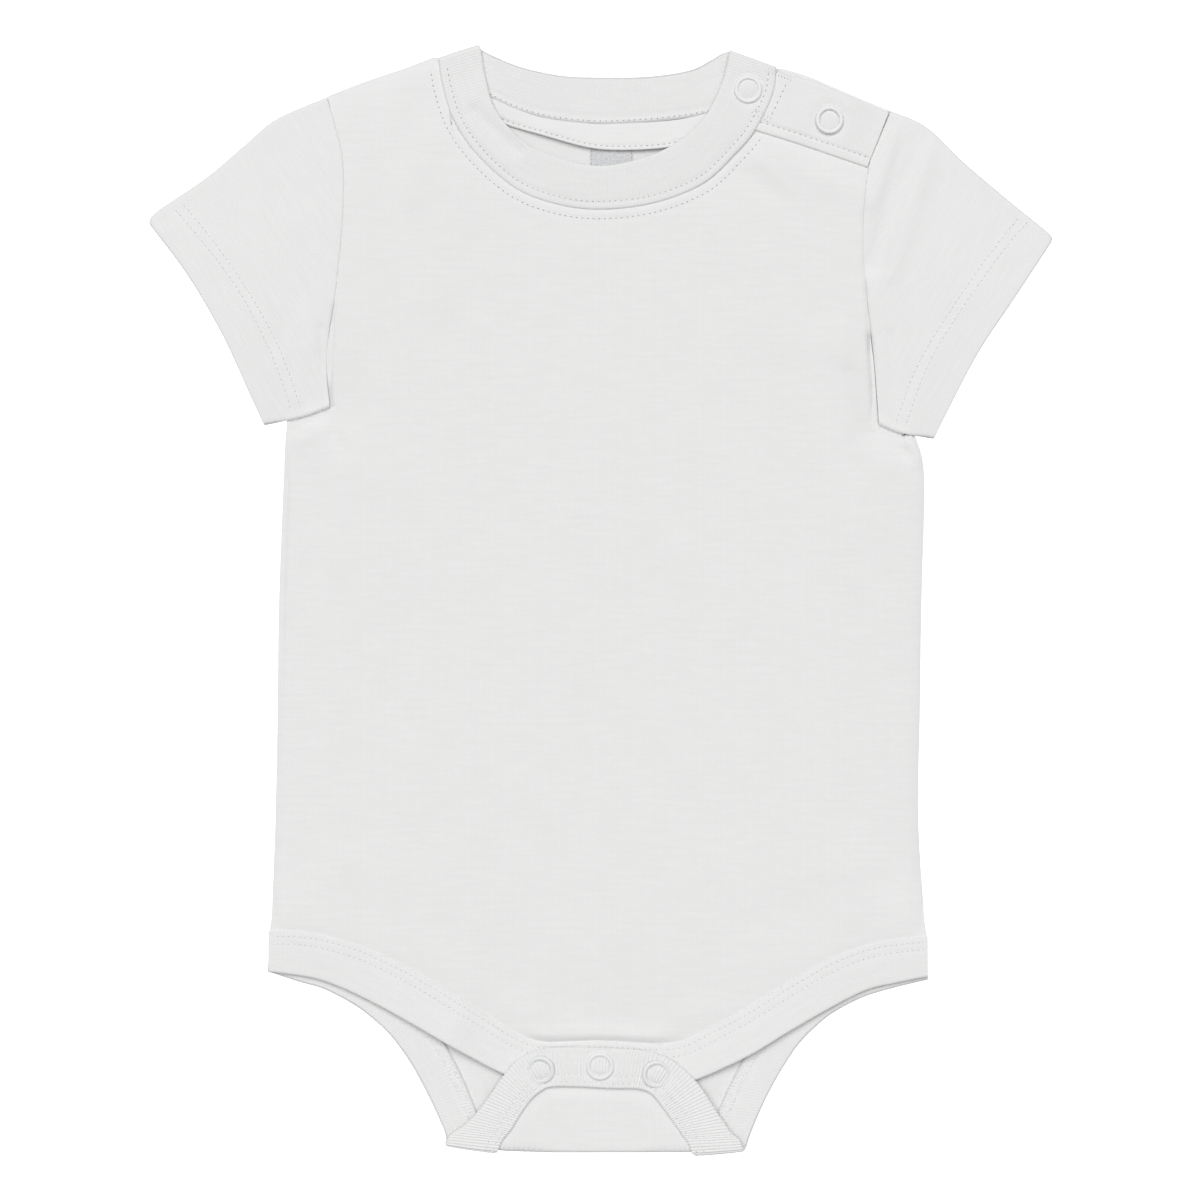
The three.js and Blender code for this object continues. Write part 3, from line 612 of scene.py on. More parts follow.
sleeve_tops = [
    # left x, left y, right x, right y
    (-101.0, 185.9, 107.5, 180.8),
    (-119.7, 177.7, 120.6, 174.9),
    (-130.4, 168.9, 134.8, 161.5),
    (-145.4, 156.2, 151.7, 147.2),
    (-163.4, 143.9, 165.4, 136.0),
    (-166.9, 139.4, 167.3, 133.0),
]
cuffs = [
    # left x, left y, right x, right y
    (-124.1, 64.6, 123.4, 59.6),
    (-129.3, 76.0, 127.2, 67.5),
    (-139.7, 98.6, 139.5, 91.1),
    (-152.5, 120.3, 153.6, 112.3),
    (-166.9, 139.4, 167.3, 133.0),
]
neck_front = [
    # seam x, seam y, free x, free y
    (65.2, 196.6, 47.8, 202.9),
    (63.8, 186.5, 45.6, 193.0),
    (57.2, 173.2, 41.4, 183.0),
    (50.0, 164.5, 37.0, 176.3),
    (38.0, 153.5, 29.0, 169.3),
    (20.0, 146.4, 17.0, 163.5),
    (0.0, 144.0, 0.5, 160.2),
    (-16.3, 146.0, -13.0, 162.5),
    (-31.5, 152.0, -26.0, 167.7),
    (-45.7, 164.5, -34.6, 175.4),
    (-54.0, 176.8, -39.6, 183.4),
    (-58.2, 190.0, -42.4, 194.0),
    (-59.5, 198.5, -43.9, 203.5),
]
PLACKET_ROW = 2
placket_front_rows = [
    # top x, top y, low x, low y
    (67.4, 194.2, 58.2, 173.0),
    (78.6, 191.3, 70.0, 169.3),
    (91.6, 185.9, 84.0, 164.6),
    (106.6, 179.7, 98.6, 159.6),
]
leg_front = [
    # x, top y, low y
    (-122.4, -122.1, -137.3),
    (-110, -122.4, -138.9),
    (-100, -124.2, -141.4),
    (-86, -128.5, -147.5),
    (-70, -136.2, -156.1),
    (-50, -148.0, -167.6),
    (-38, -155.6, -174.0),
    (-29, -161.0, -177.8),
    (-20, -163.4, -179.2),
    (0, -163.0, -179.4),
    (20, -164.0, -179.6),
    (30, -163.2, -178.8),
    (40, -158.3, -175.4),
    (55, -150.2, -168.1),
    (70, -140.8, -159.2),
    (84, -132.9, -151.2),
    (98, -127.4, -144.2),
    (110, -125.2, -141.3),
    (121.0, -124.1, -139.1),
]
folds = [
    # from x, from y, to x, to y, width, height; a negative height is a trough
    (117, 176, 101, 124, 3.8, -1.6),
    (124, 172, 107, 120, 3.6, 0.7),
    (111, 177, 99.5, 146, 2.6, 0.6),
    (155, 140, 166, 133.6, 2.6, -0.7),
    (-164, 141, -153, 145.5, 3.2, -0.6),
    (-46.2, 180.5, -30.5, 165.8, 2.6, -0.75),
    (-50, 176, -36, 161, 2.2, 0.25),
    (131, 166, 116, 124, 6, -0.3),
    (112, 150, 128, 112, 9, 0.4),
    (91, 84, 101, 62, 4.2, -0.9),
    (89, 100, 92, 62, 4, 0.5),
    (86, 92, 92, 24, 8, 0.45),
    (107, 98, 110, 66, 1.8, -0.5),
    (104.5, 61.5, 113, 54, 2.4, -1.4),
    (113, 60, 118, 52, 2.4, 0.5),
    (98, 58, 104, 40, 3.0, 0.4),
    (-122, 168, -108, 122, 9, -0.4),
    (-128, 128, -112, 96, 8, 0.4),
    (-112, 112, -120, 92, 3.5, -0.3),
    (-103, 100, -101, 74, 1.6, -0.6),
    (-108, 92, -113, 70, 3.5, 0.35),
    (-115.2, 62.8, -109, 65.8, 0.8, 0.8),
    (-109, 65.8, -103, 67.2, 0.8, 0.7),
    (-113.6, 61.6, -104, 66.0, 0.8, -1.4),
    (-111, 58.5, -101, 63.5, 1.8, 0.5),
    (-101.5, 67, -94.2, 53.8, 3.2, -0.6),
    (-92, 62, -86, 44, 5, 0.35),
    (62, 163, 96, 150, 5, 0.5),
    (52, 158, 66, 148, 3.0, -0.4),
    (58, 163, 70, 152, 2.0, 0.3),
    (-62, 170, -70, 150, 6, 0.35),
    (-66, 186, -74, 164, 5, -0.3),
    (-52, 150, -66, 112, 10, 0.35),
    (48, 138, 66, 96, 10, 0.35),
    (-34, -150, -12, -156, 4, 0.35),
    (20, -157, 44, -149, 4, 0.35),
    (-96, -96, -60, -112, 7, 0.25),
    (70, -104, 100, -96, 7, 0.25),
    (-60, -60, -20, -75, 12, 0.25),
    (30, 20, 70, -10, 12, 0.25),
    (-90, 20, -50, 8, 10, 0.2),
]
tucks = [
    # the same, in the panels alone: the cloth goes down under the sleeve here
    (98.3, 116, 100, 92, 1.1, -0.6),
    (99.6, 97, 101.8, 66, 1.5, -1.5),
    (102.5, 64.0, 111, 61.0, 1.8, -2.6),
    (-119.5, 63.4, -102.3, 68.2, 1.3, -2.8),
    (-119.5, 62.6, -111, 65.4, 1.5, -1.8),
    (-98.5, 108, -99.9, 74, 1.0, -0.9),
]

neck_on_panel = seam_line([row[:2] for row in neck_front[PLACKET_ROW:]])
placket_seam = seam_line([row[2:] for row in placket_front_rows])
leg_front_seam = seam_line([row[:2] for row in leg_front])
for number, side in enumerate(("left", "right")):
    seams[side]["top"] = seam_line([row[2 * number:2 * number + 2] for row in sleeve_tops])
    seams[side]["cuff"] = seam_line([row[2 * number:2 * number + 2] for row in cuffs])

SIDE_TOP = 270
outer_edges = [shoulder, placket_top]
for lines in seams.values():
    side_edge = seam_line([lines["underarm"][SIDE_TOP], *lines["rows"]])
    outer_edges += [side_edge, lines["top"], lines["underarm"]]


def leg_lift(x):
    """How much higher the front lies where the back leg binding is under it."""
    return (RIB - JERSEY) * ramp(np.abs(x), LEG_LIFT_FROM, LEG_LIFT_TO)


def fold_relief(x, y, placed=folds):
    """Height of the listed folds, or of the tucks."""
    height = np.zeros(x.shape)
    for from_x, from_y, to_x, to_y, width, rise in placed:
        away = distance_to(np.array([(from_x, from_y), (to_x, to_y)], float), x, y, step=1)
        height += rise * np.exp(-(away / width) ** 2)
    return height


def slack(x, y):
    """Slow uneven swell of cloth that was smoothed flat by hand."""
    swell = np.sin(x / 31 + 0.6) * np.sin(y / 43 + 1.1) + 0.6 * np.sin(x / 17 - y / 27 + 2.3)
    return 0.09 * (swell + 0.5 * np.sin(x / 9.7 + y / 13.1) * np.sin(y / 21))


def front_top(x, y):
    """Height of the front layer's outer face, for the panel and for the sleeves."""
    edge = np.min([distance_to(line, x, y) for line in outer_edges], axis=0)
    from_leg = distance_to(leg_front_seam, x, y)
    roll = EDGE_ROLL * (1 - np.exp(-edge / EDGE_ROLL_REACH))
    crown = CROWN * np.sin(np.clip(np.minimum(edge, from_leg) / CROWN_REACH, 0, 1) * math.pi / 2)
    over_leg = leg_lift(x) * (1 - ramp(from_leg, 0, LEG_LIFT_REACH))
    smooth_cloth = EDGE_REST + JERSEY + roll + crown + over_leg
    return smooth_cloth + fold_relief(x, y) + slack(x, y) * ramp(edge, 0, 20)


def groove(line, x, y, depth, reach):
    """Dip of the cloth into a seam."""
    return -depth * np.exp(-distance_to(line, x, y) / reach)


FRONT_COLUMNS = 150
FRONT_ROWS = 210
front_u, front_v = np.meshgrid(
    grid_shares(FRONT_COLUMNS, 7, 0.015),
    row_shares(FRONT_ROWS, [0.04, 0.53, 0.58, 0.96], [0.014, *EDGE_CORNERS, 0.986]),
)
leg_front_even = leg_front_seam + np.array([0, -SEWN_IN])
neck_front_edge = sewn_in(neck_on_panel, seam_line([row[2:] for row in neck_front[PLACKET_ROW:]]), 0.8)
placket_edge = placket_seam + np.array([0.7, 2.2])
front_points = patch(
    leg_front_even,
    chain(shoulder, neck_front_edge[::-1], placket_edge),
    body_edge("left", leg_front_even[0]),
    body_edge("right", leg_front_even[-1], placket_edge[-1]),
    front_u,
    front_v,
)
front_x, front_y = front_points[..., 0], front_points[..., 1]


def neck_height(x, y):
    """Height of the front neckband's underside."""
    at_snap = (NECK_SNAP - NECK_MIDDLE) * ramp(x, 25, 50)
    at_fold = (NECK_MIDDLE - NECK_LEAST) * ramp(y, 182, 199) * (x < 0)
    return NECK_MIDDLE + at_snap - at_fold


PLACKET_GROOVE = (0.55, 1.9)
NECK_GROOVE = (0.4, 0.8)
ARMHOLE_GROOVE = (0.45, 0.7)
ROW_PRESS = 0.22
ROW_WIDTH = 0.6
SIDE_LINE_IN = 1.6
SIDE_LINE_FADES = (-60, 10)
FLAP_HALF_WIDTH = (20, 32)


def panel_top(x, y):
    """Height of the front panel's outer face, no higher than the neckband and placket allow."""
    height = front_top(x, y) + fold_relief(x, y, tucks)
    from_neck = distance_to(neck_on_panel, x, y)
    height = np.minimum(height, neck_height(x, y) + BAND_WALL - 0.25 + 0.16 * from_neck)
    from_placket = distance_to(placket_seam, x, y)
    height = np.minimum(height, PLACKET_REST + 1.2 + 0.15 * from_placket)
    height = height + groove(placket_seam, x, y, *PLACKET_GROOVE)
    height = height + groove(neck_on_panel, x, y, *NECK_GROOVE)
    height = height - ROW_PRESS * np.exp(-(((from_neck - BODY_ROW) / ROW_WIDTH) ** 2))
    height = np.minimum(height, neck_height(x, y) + 0.6 + distance_to(neck_front_edge, x, y))
    for side in ("left", "right"):
        height = height + groove(seams[side]["armhole"], x, y, *ARMHOLE_GROOVE)
    from_side = distance_to(seam_line(seams["left"]["rows"]), x, y)
    side_line = np.exp(-(((from_side - SIDE_LINE_IN) / ROW_WIDTH) ** 2))
    height = height - SIDE_LINE * ramp(y, *SIDE_LINE_FADES) * side_line
    height = np.maximum(height, UNDERARM_LEAST)
    from_leg = distance_to(leg_front_seam, x, y)
    height = np.maximum(height, FRONT_BASE + BAND_WALL - 0.42 + leg_lift(x) - 0.12 * from_leg)
    over_flap = 1 - ramp(np.abs(x), *FLAP_HALF_WIDTH)
    bulge = BULGE_OVER_FLAP * over_flap * np.exp(-(((from_leg - 3.2) / 2.4) ** 2))
    return height + bulge - (0.35 + 0.9 * over_flap) * np.exp(-from_leg / (1.6 - 0.8 * over_flap))


front_height = panel_top(front_x, front_y)
front_panel = cloth_from_grid(
    "front_panel_cloth", np.dstack([front_points, front_height - JERSEY / 2]), front_points
)
give_wall(front_panel, JERSEY, 0)
lay_cloth(
    front_panel, "front_panel", jersey_cotton
)


# Sleeves: each is one piece of jersey closed along the underarm, set into the armhole and laid flat.
# The hem is turned in 15 mm and held with two rows of stitching. The wales run towards the cuff.
HEM_DEPTH = 15
HEM_RISE = 0.3
SLEEVE_EDGE_TURN = 1.3
SLEEVE_EDGE_MIDDLE = 1.2
SLEEVE_LEAST = 2.95
SLEEVE_SPAN = 57
SLEEVE_HALF_GIRTH = 96
SLEEVE_CELLS = 60
TURN_CELLS = 6
sleeve_axes = {"left": (-0.87, -0.5), "right": (0.86, -0.51)}
SLEEVE_WALE = 0.95
SLEEVE_WIDTH = 85
GIRTH_TURN = 0.013
ARMHOLE_RUN = [0, 0.006, 0.012, 0.02, 0.03]
TUCK_REACH = 0.4
SOFT_MAXIMUM = 0.5
UNDERARM_LIFT = 1.7
UNDERARM_LIFT_REACH = 5
sleeve_cotton = cotton_material(
    "white_sleeve_jersey", COTTON_WHITE, jersey_knit, SLEEVE_WALE, KNIT_DEPTH,
    Wale_Rise=0.2, Loop_Rise=0.03, Fuzz=0.12,
)

turn_share = JERSEY / SLEEVE_SPAN
outward_run = np.concatenate([ARMHOLE_RUN, np.linspace(0.045, 1 - turn_share, SLEEVE_CELLS)])
turning = np.linspace(0, math.pi, TURN_CELLS + 1)[1:]
inward_run = np.linspace(1 - turn_share, 1 - HEM_DEPTH / SLEEVE_SPAN, 8)[1:]
run_shares = np.concatenate([outward_run, 1 - turn_share + turn_share * np.sin(turning), inward_run])
hem_turned = np.concatenate(
    [np.zeros(len(outward_run)), (1 - np.cos(turning)) / 2, np.ones(len(inward_run))]
)

edge_turn = GIRTH_TURN * (1 - np.cos(np.linspace(0, math.pi / 2, 7)))
girth_half = np.concatenate([edge_turn, np.linspace(0.03, 0.97, SLEEVE_HALF_GIRTH), 1 - edge_turn[::-1]])
girth_shares = np.concatenate([girth_half, girth_half[-2::-1]])
on_back = np.arange(len(girth_shares)) >= len(girth_half)

sleeves = {}
for side, lines in seams.items():
    girth, run = np.meshgrid(girth_shares, run_shares)
    turned_in = np.broadcast_to(hem_turned[:, None], girth.shape)
    inset = turned_in * 2 * JERSEY
    narrowed = 0.5 + (girth - 0.5) * (1 - 2 * inset / SLEEVE_WIDTH)
    place = patch(lines["armhole"][::-1], lines["cuff"], lines["underarm"], lines["top"], narrowed, run)
    x, y = place[..., 0], place[..., 1]
    from_fold = np.minimum(distance_to(lines["underarm"], x, y), distance_to(lines["top"], x, y)) - inset
    from_cuff = distance_to(lines["cuff"], x, y)
    roundness = np.sqrt(np.clip(1 - (1 - np.clip(from_fold / SLEEVE_EDGE_TURN, 0, 1)) ** 2, 0, 1))
    into_tuck = fold_relief(x, y, tucks) * np.exp(-distance_to(lines["armhole"], x, y) / TUCK_REACH)
    top = front_top(x, y) + groove(lines["armhole"], x, y, *ARMHOLE_GROOVE) + into_tuck
    top = top + HEM_RISE * (1 - ramp(from_cuff, HEM_DEPTH - 1, HEM_DEPTH + 2))
    top = (top + SLEEVE_LEAST + np.hypot(top - SLEEVE_LEAST, SOFT_MAXIMUM)) / 2
    layer = np.where(on_back, 2 * JERSEY * turned_in, top - 2 * JERSEY * turned_in)
    by_underarm = np.exp(-(distance_to(lines["underarm"], x, y) / UNDERARM_LIFT_REACH) ** 2)
    edge_height = SLEEVE_EDGE_MIDDLE + UNDERARM_LIFT * by_underarm * ramp(from_cuff, 2, 12)
    layer = np.where(on_back, layer, np.maximum(layer, edge_height + 0.6))
    height = edge_height + (layer - edge_height) * roundness
    axis_x, axis_y = sleeve_axes[side]
    on_cloth = np.stack([x * axis_y - y * axis_x, x * axis_x + y * axis_y], axis=-1)
    sleeve_points = np.dstack([x, y, height])
    sleeves[side] = cloth_from_grid(
        f"sleeve_{side}_cloth", sleeve_points, on_cloth, turned=side == "right"
    )
    mesh = bmesh.new()
    mesh.from_mesh(sleeves[side].data)
    bmesh.ops.remove_doubles(mesh, verts=mesh.verts, dist=1e-7)
    mesh.to_mesh(sleeves[side].data)
    mesh.free()
    give_wall(sleeves[side], JERSEY)
    lay_cloth(
        sleeves[side], f"sleeve_{side}", sleeve_cotton
    )


# Rib bands: the neckband is a strip of rib folded double, sewn on with its raw edges inside. It runs
# from the shoulder snap along the front, folds over at the left shoulder and comes back along the
# back of the neck. Its ribs are modelled, and the small loops are in the shader.
BAND_STEP = 0.21
BAND_ROUND = 0.8
NECK_PITCH = 1.03
NECK_RIB_RISE = 0.04
NECK_TURN_STEPS = 30
NECK_STANDS_OFF = 0.8
SNAP_HOLE = 3.4
SNAP_RIM = 5.25
BAND_ROW = 3.0
PRESS_WIDTH = 0.55
BACK_FACE_AT = 60


def even_rows(rows, step=BAND_STEP):
    """The smooth rows of a table of two edges, at even steps along their middle line."""
    dense = smooth_points(rows, np.linspace(0, 1, 4001))
    run = run_along((dense[:, :2] + dense[:, 2:4]) / 2)
    even = np.linspace(0, run[-1], int(run[-1] / step) + 1)
    return np.stack([np.interp(even, run, dense[:, axis]) for axis in range(4)], axis=1)


def uneven(run, seed):
    """Slow waves of unlike length along a run, between about -1 and 1."""
    return (np.sin(run / 3.1 + seed) + np.sin(run / 5.3 + 2 * seed) + np.sin(run / 1.7 + 3 * seed)) / 3


def snap_middle(place):
    """Middle of a snap's ring in millimetres."""
    low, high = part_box(f"snap_ring_{place}")
    return (low.x + high.x) / 2 / MM, (low.y + high.y) / 2 / MM


def snap_relief(x, y, places):
    """Rise of cloth held by snaps: it domes in the ring's hole and sinks under and round the ring."""
    rise = np.zeros(x.shape)
    for place in places:
        middle_x, middle_y = snap_middle(place)
        away = np.hypot(x - middle_x, y - middle_y)
        rise += 0.5 * np.clip(1 - (away / SNAP_HOLE) ** 2, 0, 1) ** 0.6
        rise -= 0.35 * np.exp(-(((away - SNAP_RIM) / 1.6) ** 2))
    return rise


def rib_band(
    name, seam, free, depth, pitch, rise, presses, places=(), wall=BAND_WALL, cells=21, turned=False
):
    """Closed strip from a sewn edge to a free edge, both given on its outer face, with ribs across
    it. presses are (distance from the sewn edge, depth) of its stitch rows, and a negative distance
    is from the free edge. places names the snaps that it carries."""
    width = np.linalg.norm(free - seam, axis=1)
    inward = (free - seam) / width[:, None]
    run = run_along((seam + free) / 2)
    flat_shares = np.linspace(0, 1, cells + 1)
    arc = np.linspace(-math.pi / 2, math.pi / 2, 6)[1:-1]
    rounds = np.minimum(BAND_ROUND, width / 4)
    section = [("face", share, 0.0, -1.0) for share in flat_shares]
    section += [("free", math.cos(angle), math.cos(angle), math.sin(angle)) for angle in arc]
    section += [("back", share, 0.0, 1.0) for share in flat_shares[::-1]]
    section += [("seam", math.cos(angle), -math.cos(angle), -math.sin(angle)) for angle in arc]
    section.append(section[0])
    rib_wave = np.cos(2 * math.pi * run / pitch) * (1 + 0.25 * uneven(run, 1.3))
    points = np.empty((len(run), len(section), 3))
    cloth_place = np.empty((len(run), len(section), 2))
    for index, (zone, share, normal_in, normal_down) in enumerate(section):
        if zone in ("face", "back"):
            across = rounds + share * (width - 2 * rounds)
            down = np.full(len(run), 0.0 if zone == "face" else wall)
            lift = rise * rib_wave + 0.12 * math.sin(math.pi * share)
            for distance, press in presses:
                row_at = distance if distance > 0 else width + distance
                near = np.exp(-(((across - row_at) / PRESS_WIDTH) ** 2))
                lift = lift - press * near * (1 + 0.3 * uneven(run, distance))
            if zone == "face":
                spot = seam + inward * across[:, None]
                lift = lift + snap_relief(spot[:, 0], spot[:, 1], places)
                lift = lift + fold_relief(spot[:, 0], spot[:, 1])
        else:
            middle = width - rounds if zone == "free" else rounds
            across = middle + rounds * normal_in
            down = wall / 2 * (1 + normal_down)
            lift = rise * rib_wave * 0.8
        across = across + normal_in * lift
        down = down + normal_down * lift
        points[:, index] = seam + inward * across[:, None] + depth * np.reshape(down, (-1, 1))
        cloth_place[:, index, 0] = run
        cloth_place[:, index, 1] = across if zone != "back" else BACK_FACE_AT - across
    return cloth_from_grid(name, points, cloth_place, closed=True, turned=turned)


neck_front_rows = even_rows(neck_front)
neck_back_rows = even_rows(neck_back)


def raised(points, height):
    """Points of the table with a height."""
    return np.column_stack([points, np.broadcast_to(height, len(points))])


front_height_line = neck_height(*((neck_front_rows[:, :2] + neck_front_rows[:, 2:]) / 2).T) + BAND_WALL
fold_seam, fold_free = neck_back_rows[0, :2], neck_back_rows[0, 2:]
fold_along = (fold_free - fold_seam) / np.linalg.norm(fold_free - fold_seam)
fold_outward = np.array([-fold_along[1], fold_along[0], 0])
turn_height = NECK_LEAST + BAND_WALL
turn_angles = np.linspace(math.pi, 0, NECK_TURN_STEPS + 1)[1:-1, None]
turn_depth = np.cos(turn_angles) * np.array([0, 0, 1.0]) - np.sin(turn_angles) * fold_outward
turn_middle = np.array([0, 0, turn_height / 2])
neck_open = 1 - ramp(neck_front_rows[:, 3], 172, 190)
neck_seam = np.concatenate([
    raised(neck_front_rows[:, :2], front_height_line),
    np.append(fold_seam, 0) + turn_middle - turn_depth * turn_height / 2,
    raised(neck_back_rows[:, :2], 0),
])
neck_free = np.concatenate([
    raised(neck_front_rows[:, 2:], front_height_line + NECK_STANDS_OFF * neck_open),
    np.append(fold_free, 0) + turn_middle - turn_depth * turn_height / 2,
    raised(neck_back_rows[:, 2:], 0),
])
neck_depth = np.concatenate([
    np.tile([0, 0, -1.0], (len(neck_front_rows), 1)),
    turn_depth,
    np.tile([0, 0, 1.0], (len(neck_back_rows), 1)),
])
NECK_WHITE = (0.812, 0.812, 0.809)
neck_cotton = cotton_material(
    "white_neck_rib", NECK_WHITE, jersey_knit, NECK_PITCH, KNIT_DEPTH, Wale_Rise=0.12, Loop_Rise=0.22
)
neckband = rib_band(
    "neckband_rib", neck_seam, neck_free, neck_depth, NECK_PITCH, NECK_RIB_RISE, [(BAND_ROW, 0.22)],
    places=["neck"],
)
lay_cloth(
    neckband,
    "neckband",
    neck_cotton,
)


# Leg bindings: double strips of the same rib round each leg edge. The front one runs from side seam
# to side seam. The back one follows the left leg, turns up with the flap and goes round it, and
# follows the right leg. Its ribs stand out most where it is stretched round the flap.
LEG_PITCH = 1.05
FLAP_PITCH = 1.14
LEG_RIB_RISE = 0.03
FLAP_RIB_RISE = 0.15
LEG_WHITE = (0.815, 0.815, 0.812)
COVER_ROWS = [(2.0, 0.16), (4.8, 0.16)]
LEG_STANDS_OFF = [(26, 0.6), (34, 1.4), (44, 2.3), (60, 1.5), (80, 0.6), (105, 0.1)]

leg_cotton = cotton_material(
    "white_leg_rib", LEG_WHITE, jersey_knit, LEG_PITCH, KNIT_DEPTH, Wale_Rise=0.12, Loop_Rise=0.22
)
leg_top_even = seam_line([(x, top) for x, top, low in leg_front])
leg_low_even = seam_line([(x, low) for x, top, low in leg_front])
leg_seam_line = np.stack(
    [np.interp(np.linspace(0, 1, int(run_along(leg_top_even)[-1] / BAND_STEP)),
               np.linspace(0, 1, SEAM_SAMPLES), leg_top_even[:, axis]) for axis in range(2)], axis=1)
leg_direction = np.gradient(leg_seam_line, axis=0)
leg_direction /= np.linalg.norm(leg_direction, axis=1)[:, None]
along_share = np.linspace(0, 1, len(leg_seam_line))
square_share = np.array([
    np.interp(0, (leg_low_even - point) @ direction, np.linspace(0, 1, SEAM_SAMPLES))
    for point, direction in zip(leg_seam_line, leg_direction)
])
near_end = ramp(np.minimum(along_share, 1 - along_share), 0, 0.06)
leg_free_line = at_share(leg_low_even, along_share * (1 - near_end) + square_share * near_end)
leg_front_height = FRONT_BASE + BAND_WALL + leg_lift(leg_seam_line[:, 0])
leg_free_height = leg_front_height + np.interp(np.abs(leg_seam_line[:, 0]), *zip(*LEG_STANDS_OFF))
leg_binding_front = rib_band(
    "leg_binding_front_rib",
    raised(leg_seam_line, leg_front_height),
    raised(leg_free_line, leg_free_height),
    np.array([[0, 0, -1.0]]),
    LEG_PITCH,
    LEG_RIB_RISE,
    COVER_ROWS,
    cells=18,
)
lay_cloth(
    leg_binding_front,
    "leg_binding_front",
    leg_cotton,
)

leg_back_rows = even_rows([(*free, *seam) for free, seam in zip(leg_back_free_rows, leg_back_seam_rows)])
leg_back_sewn = folded_up(leg_back_rows[:, 2], leg_back_rows[:, 3], 0)
leg_back_depth = folded_up(leg_back_rows[:, 2], leg_back_rows[:, 3], 1) - leg_back_sewn
leg_back_sewn = draw_up(leg_back_sewn)
leg_back_open = draw_up(folded_up(leg_back_rows[:, 0], leg_back_rows[:, 1], 0))
flap_share = ramp(fold_centre + 6 - leg_back_rows[:, 1], 0, 12)
leg_binding_back = rib_band(
    "leg_binding_back_rib",
    leg_back_sewn,
    leg_back_open,
    leg_back_depth,
    FLAP_PITCH,
    LEG_RIB_RISE + (FLAP_RIB_RISE - LEG_RIB_RISE) * flap_share,
    COVER_ROWS,
    places=["crotch_left", "crotch_middle", "crotch_right"],
    turned=True,
)
flap_cotton = cotton_material(
    "white_flap_rib", LEG_WHITE, jersey_knit, FLAP_PITCH, KNIT_DEPTH, Wale_Rise=0.05, Loop_Rise=0.15
)
lay_cloth(
    leg_binding_back,
    "leg_binding_back",
    flap_cotton,
)


# Neck tape and label: a folded strip of jersey covers the back neck seam on the inside, its lower
# edge standing a little off the back. A plain woven label hangs from under it, its cut sides
# overlocked. The label is blank.
TAPE_WALL = 0.9
TAPE_TOP = 1.7
TAPE_LIFTED = 3.1
TAPE_ROW_UP = 1.5
LABEL_GREY = (0.73, 0.735, 0.745)
LABEL_SIDES = (-3.6, 12.1)
LABEL_ENDS = (169.0, 149.0)
LABEL_HEIGHT = 1.15
LABEL_WALL = 0.3
LABEL_WEAVE = 0.34
LABEL_DEPTH = 0.00008

neck_tape_rows = [
    # x, top y, low y
    (-44.0, 186.9, 180.4),
    (-34.6, 182.4, 175.6),
    (-22.2, 177.8, 171.9),
    (-4.6, 175.4, 167.1),
    (8.3, 175.4, 166.1),
    (25.0, 176.4, 167.1),
    (36.0, 178.2, 170.5),
    (46.0, 181.2, 175.0),
]
tape_lines = even_rows([(x, top, x, low) for x, top, low in neck_tape_rows], 0.6)
tape_lift = ramp(tape_lines[:, 0], -36, -20) * (1 - ramp(tape_lines[:, 0], 22, 38))
tape_sewn = raised(tape_lines[:, :2] + np.array([0, 0.8]), TAPE_TOP)
tape_low = raised(tape_lines[:, 2:], TAPE_TOP + 0.2 + (TAPE_LIFTED - TAPE_TOP - 0.2) * tape_lift)
neck_tape = rib_band(
    "neck_tape_cloth", tape_sewn, tape_low, np.array([[0, 0, -1.0]]), 1.0, 0.0, [(-TAPE_ROW_UP, 0.25)],
    wall=TAPE_WALL, cells=20,
)
lay_cloth(neck_tape, "neck_tape", jersey_cotton)

label_x, label_y = np.meshgrid(np.linspace(*LABEL_SIDES, 24), np.linspace(*LABEL_ENDS[::-1], 24))
label_z = LABEL_HEIGHT + 0.12 * np.sin(label_x / 3.1) + 0.05 * np.sin(label_y / 2.3)
size_label = cloth_from_grid(
    "blank_label", np.dstack([label_x, label_y, label_z]), np.dstack([label_x, label_y])
)
give_wall(size_label, LABEL_WALL)
woven = shader_group(
    "PlainWeave",
    [("Cloth", "NodeSocketVector", None), ("Wale", "NodeSocketFloat", 0.0004)],
    [("Height", "NodeSocketFloat"), ("Shade", "NodeSocketFloat")],
)
weave_in = woven.nodes.new("NodeGroupInput")
weave_out = woven.nodes.new("NodeGroupOutput")
weave_split = wire(woven, "ShaderNodeSeparateXYZ", Vector=weave_in.outputs["Cloth"])
weave_waves = []
for axis in (0, 1):
    place = maths(woven, "DIVIDE", weave_split.outputs[axis], weave_in.outputs["Wale"])
    weave_waves.append(maths(woven, "SINE", maths(woven, "MULTIPLY", place, math.pi)))
weave_height = maths(woven, "MULTIPLY", *weave_waves)
woven.links.new(weave_height, weave_out.inputs["Height"])
weave_spots = wire(woven, "ShaderNodeTexNoise", Vector=weave_in.outputs["Cloth"], Scale=1500.0, Detail=1.0)
weave_shade = maths(woven, "MULTIPLY", maths(woven, "SUBTRACT", weave_spots.outputs[0], 0.5), 0.6)
# Painted shade: the weave is lighter where its threads rise and darker in the hollows between them, on top
# of a random speckle of the yarn.
weave_shade = maths(woven, "ADD", maths(woven, "MULTIPLY", weave_height, 0.08), weave_shade)
woven.links.new(maths(woven, "ADD", weave_shade, 1.0), weave_out.inputs["Shade"])
label_cloth = cotton_material("grey_label_weave", LABEL_GREY, woven, LABEL_WEAVE, LABEL_DEPTH)
lay_cloth(size_label, "size_label", label_cloth)


# Shoulder placket: two jersey strips snapped over each other. The upper one is turned under at the
# top and stitched down low, and below the stitching its fold stands up over the front panel.
PLACKET_WALL = 1.3
PLACKET_BACK_TOP = 2.3
PLACKET_SNAP_LIFT = 1.0
PLACKET_SNAP_REACH = (5, 17)
PLACKET_ROW_UP = 3.6
PLACKET_BACK_WALL = 1.2
PLACKET_BACK_PRESS = (2.2, 0.2)

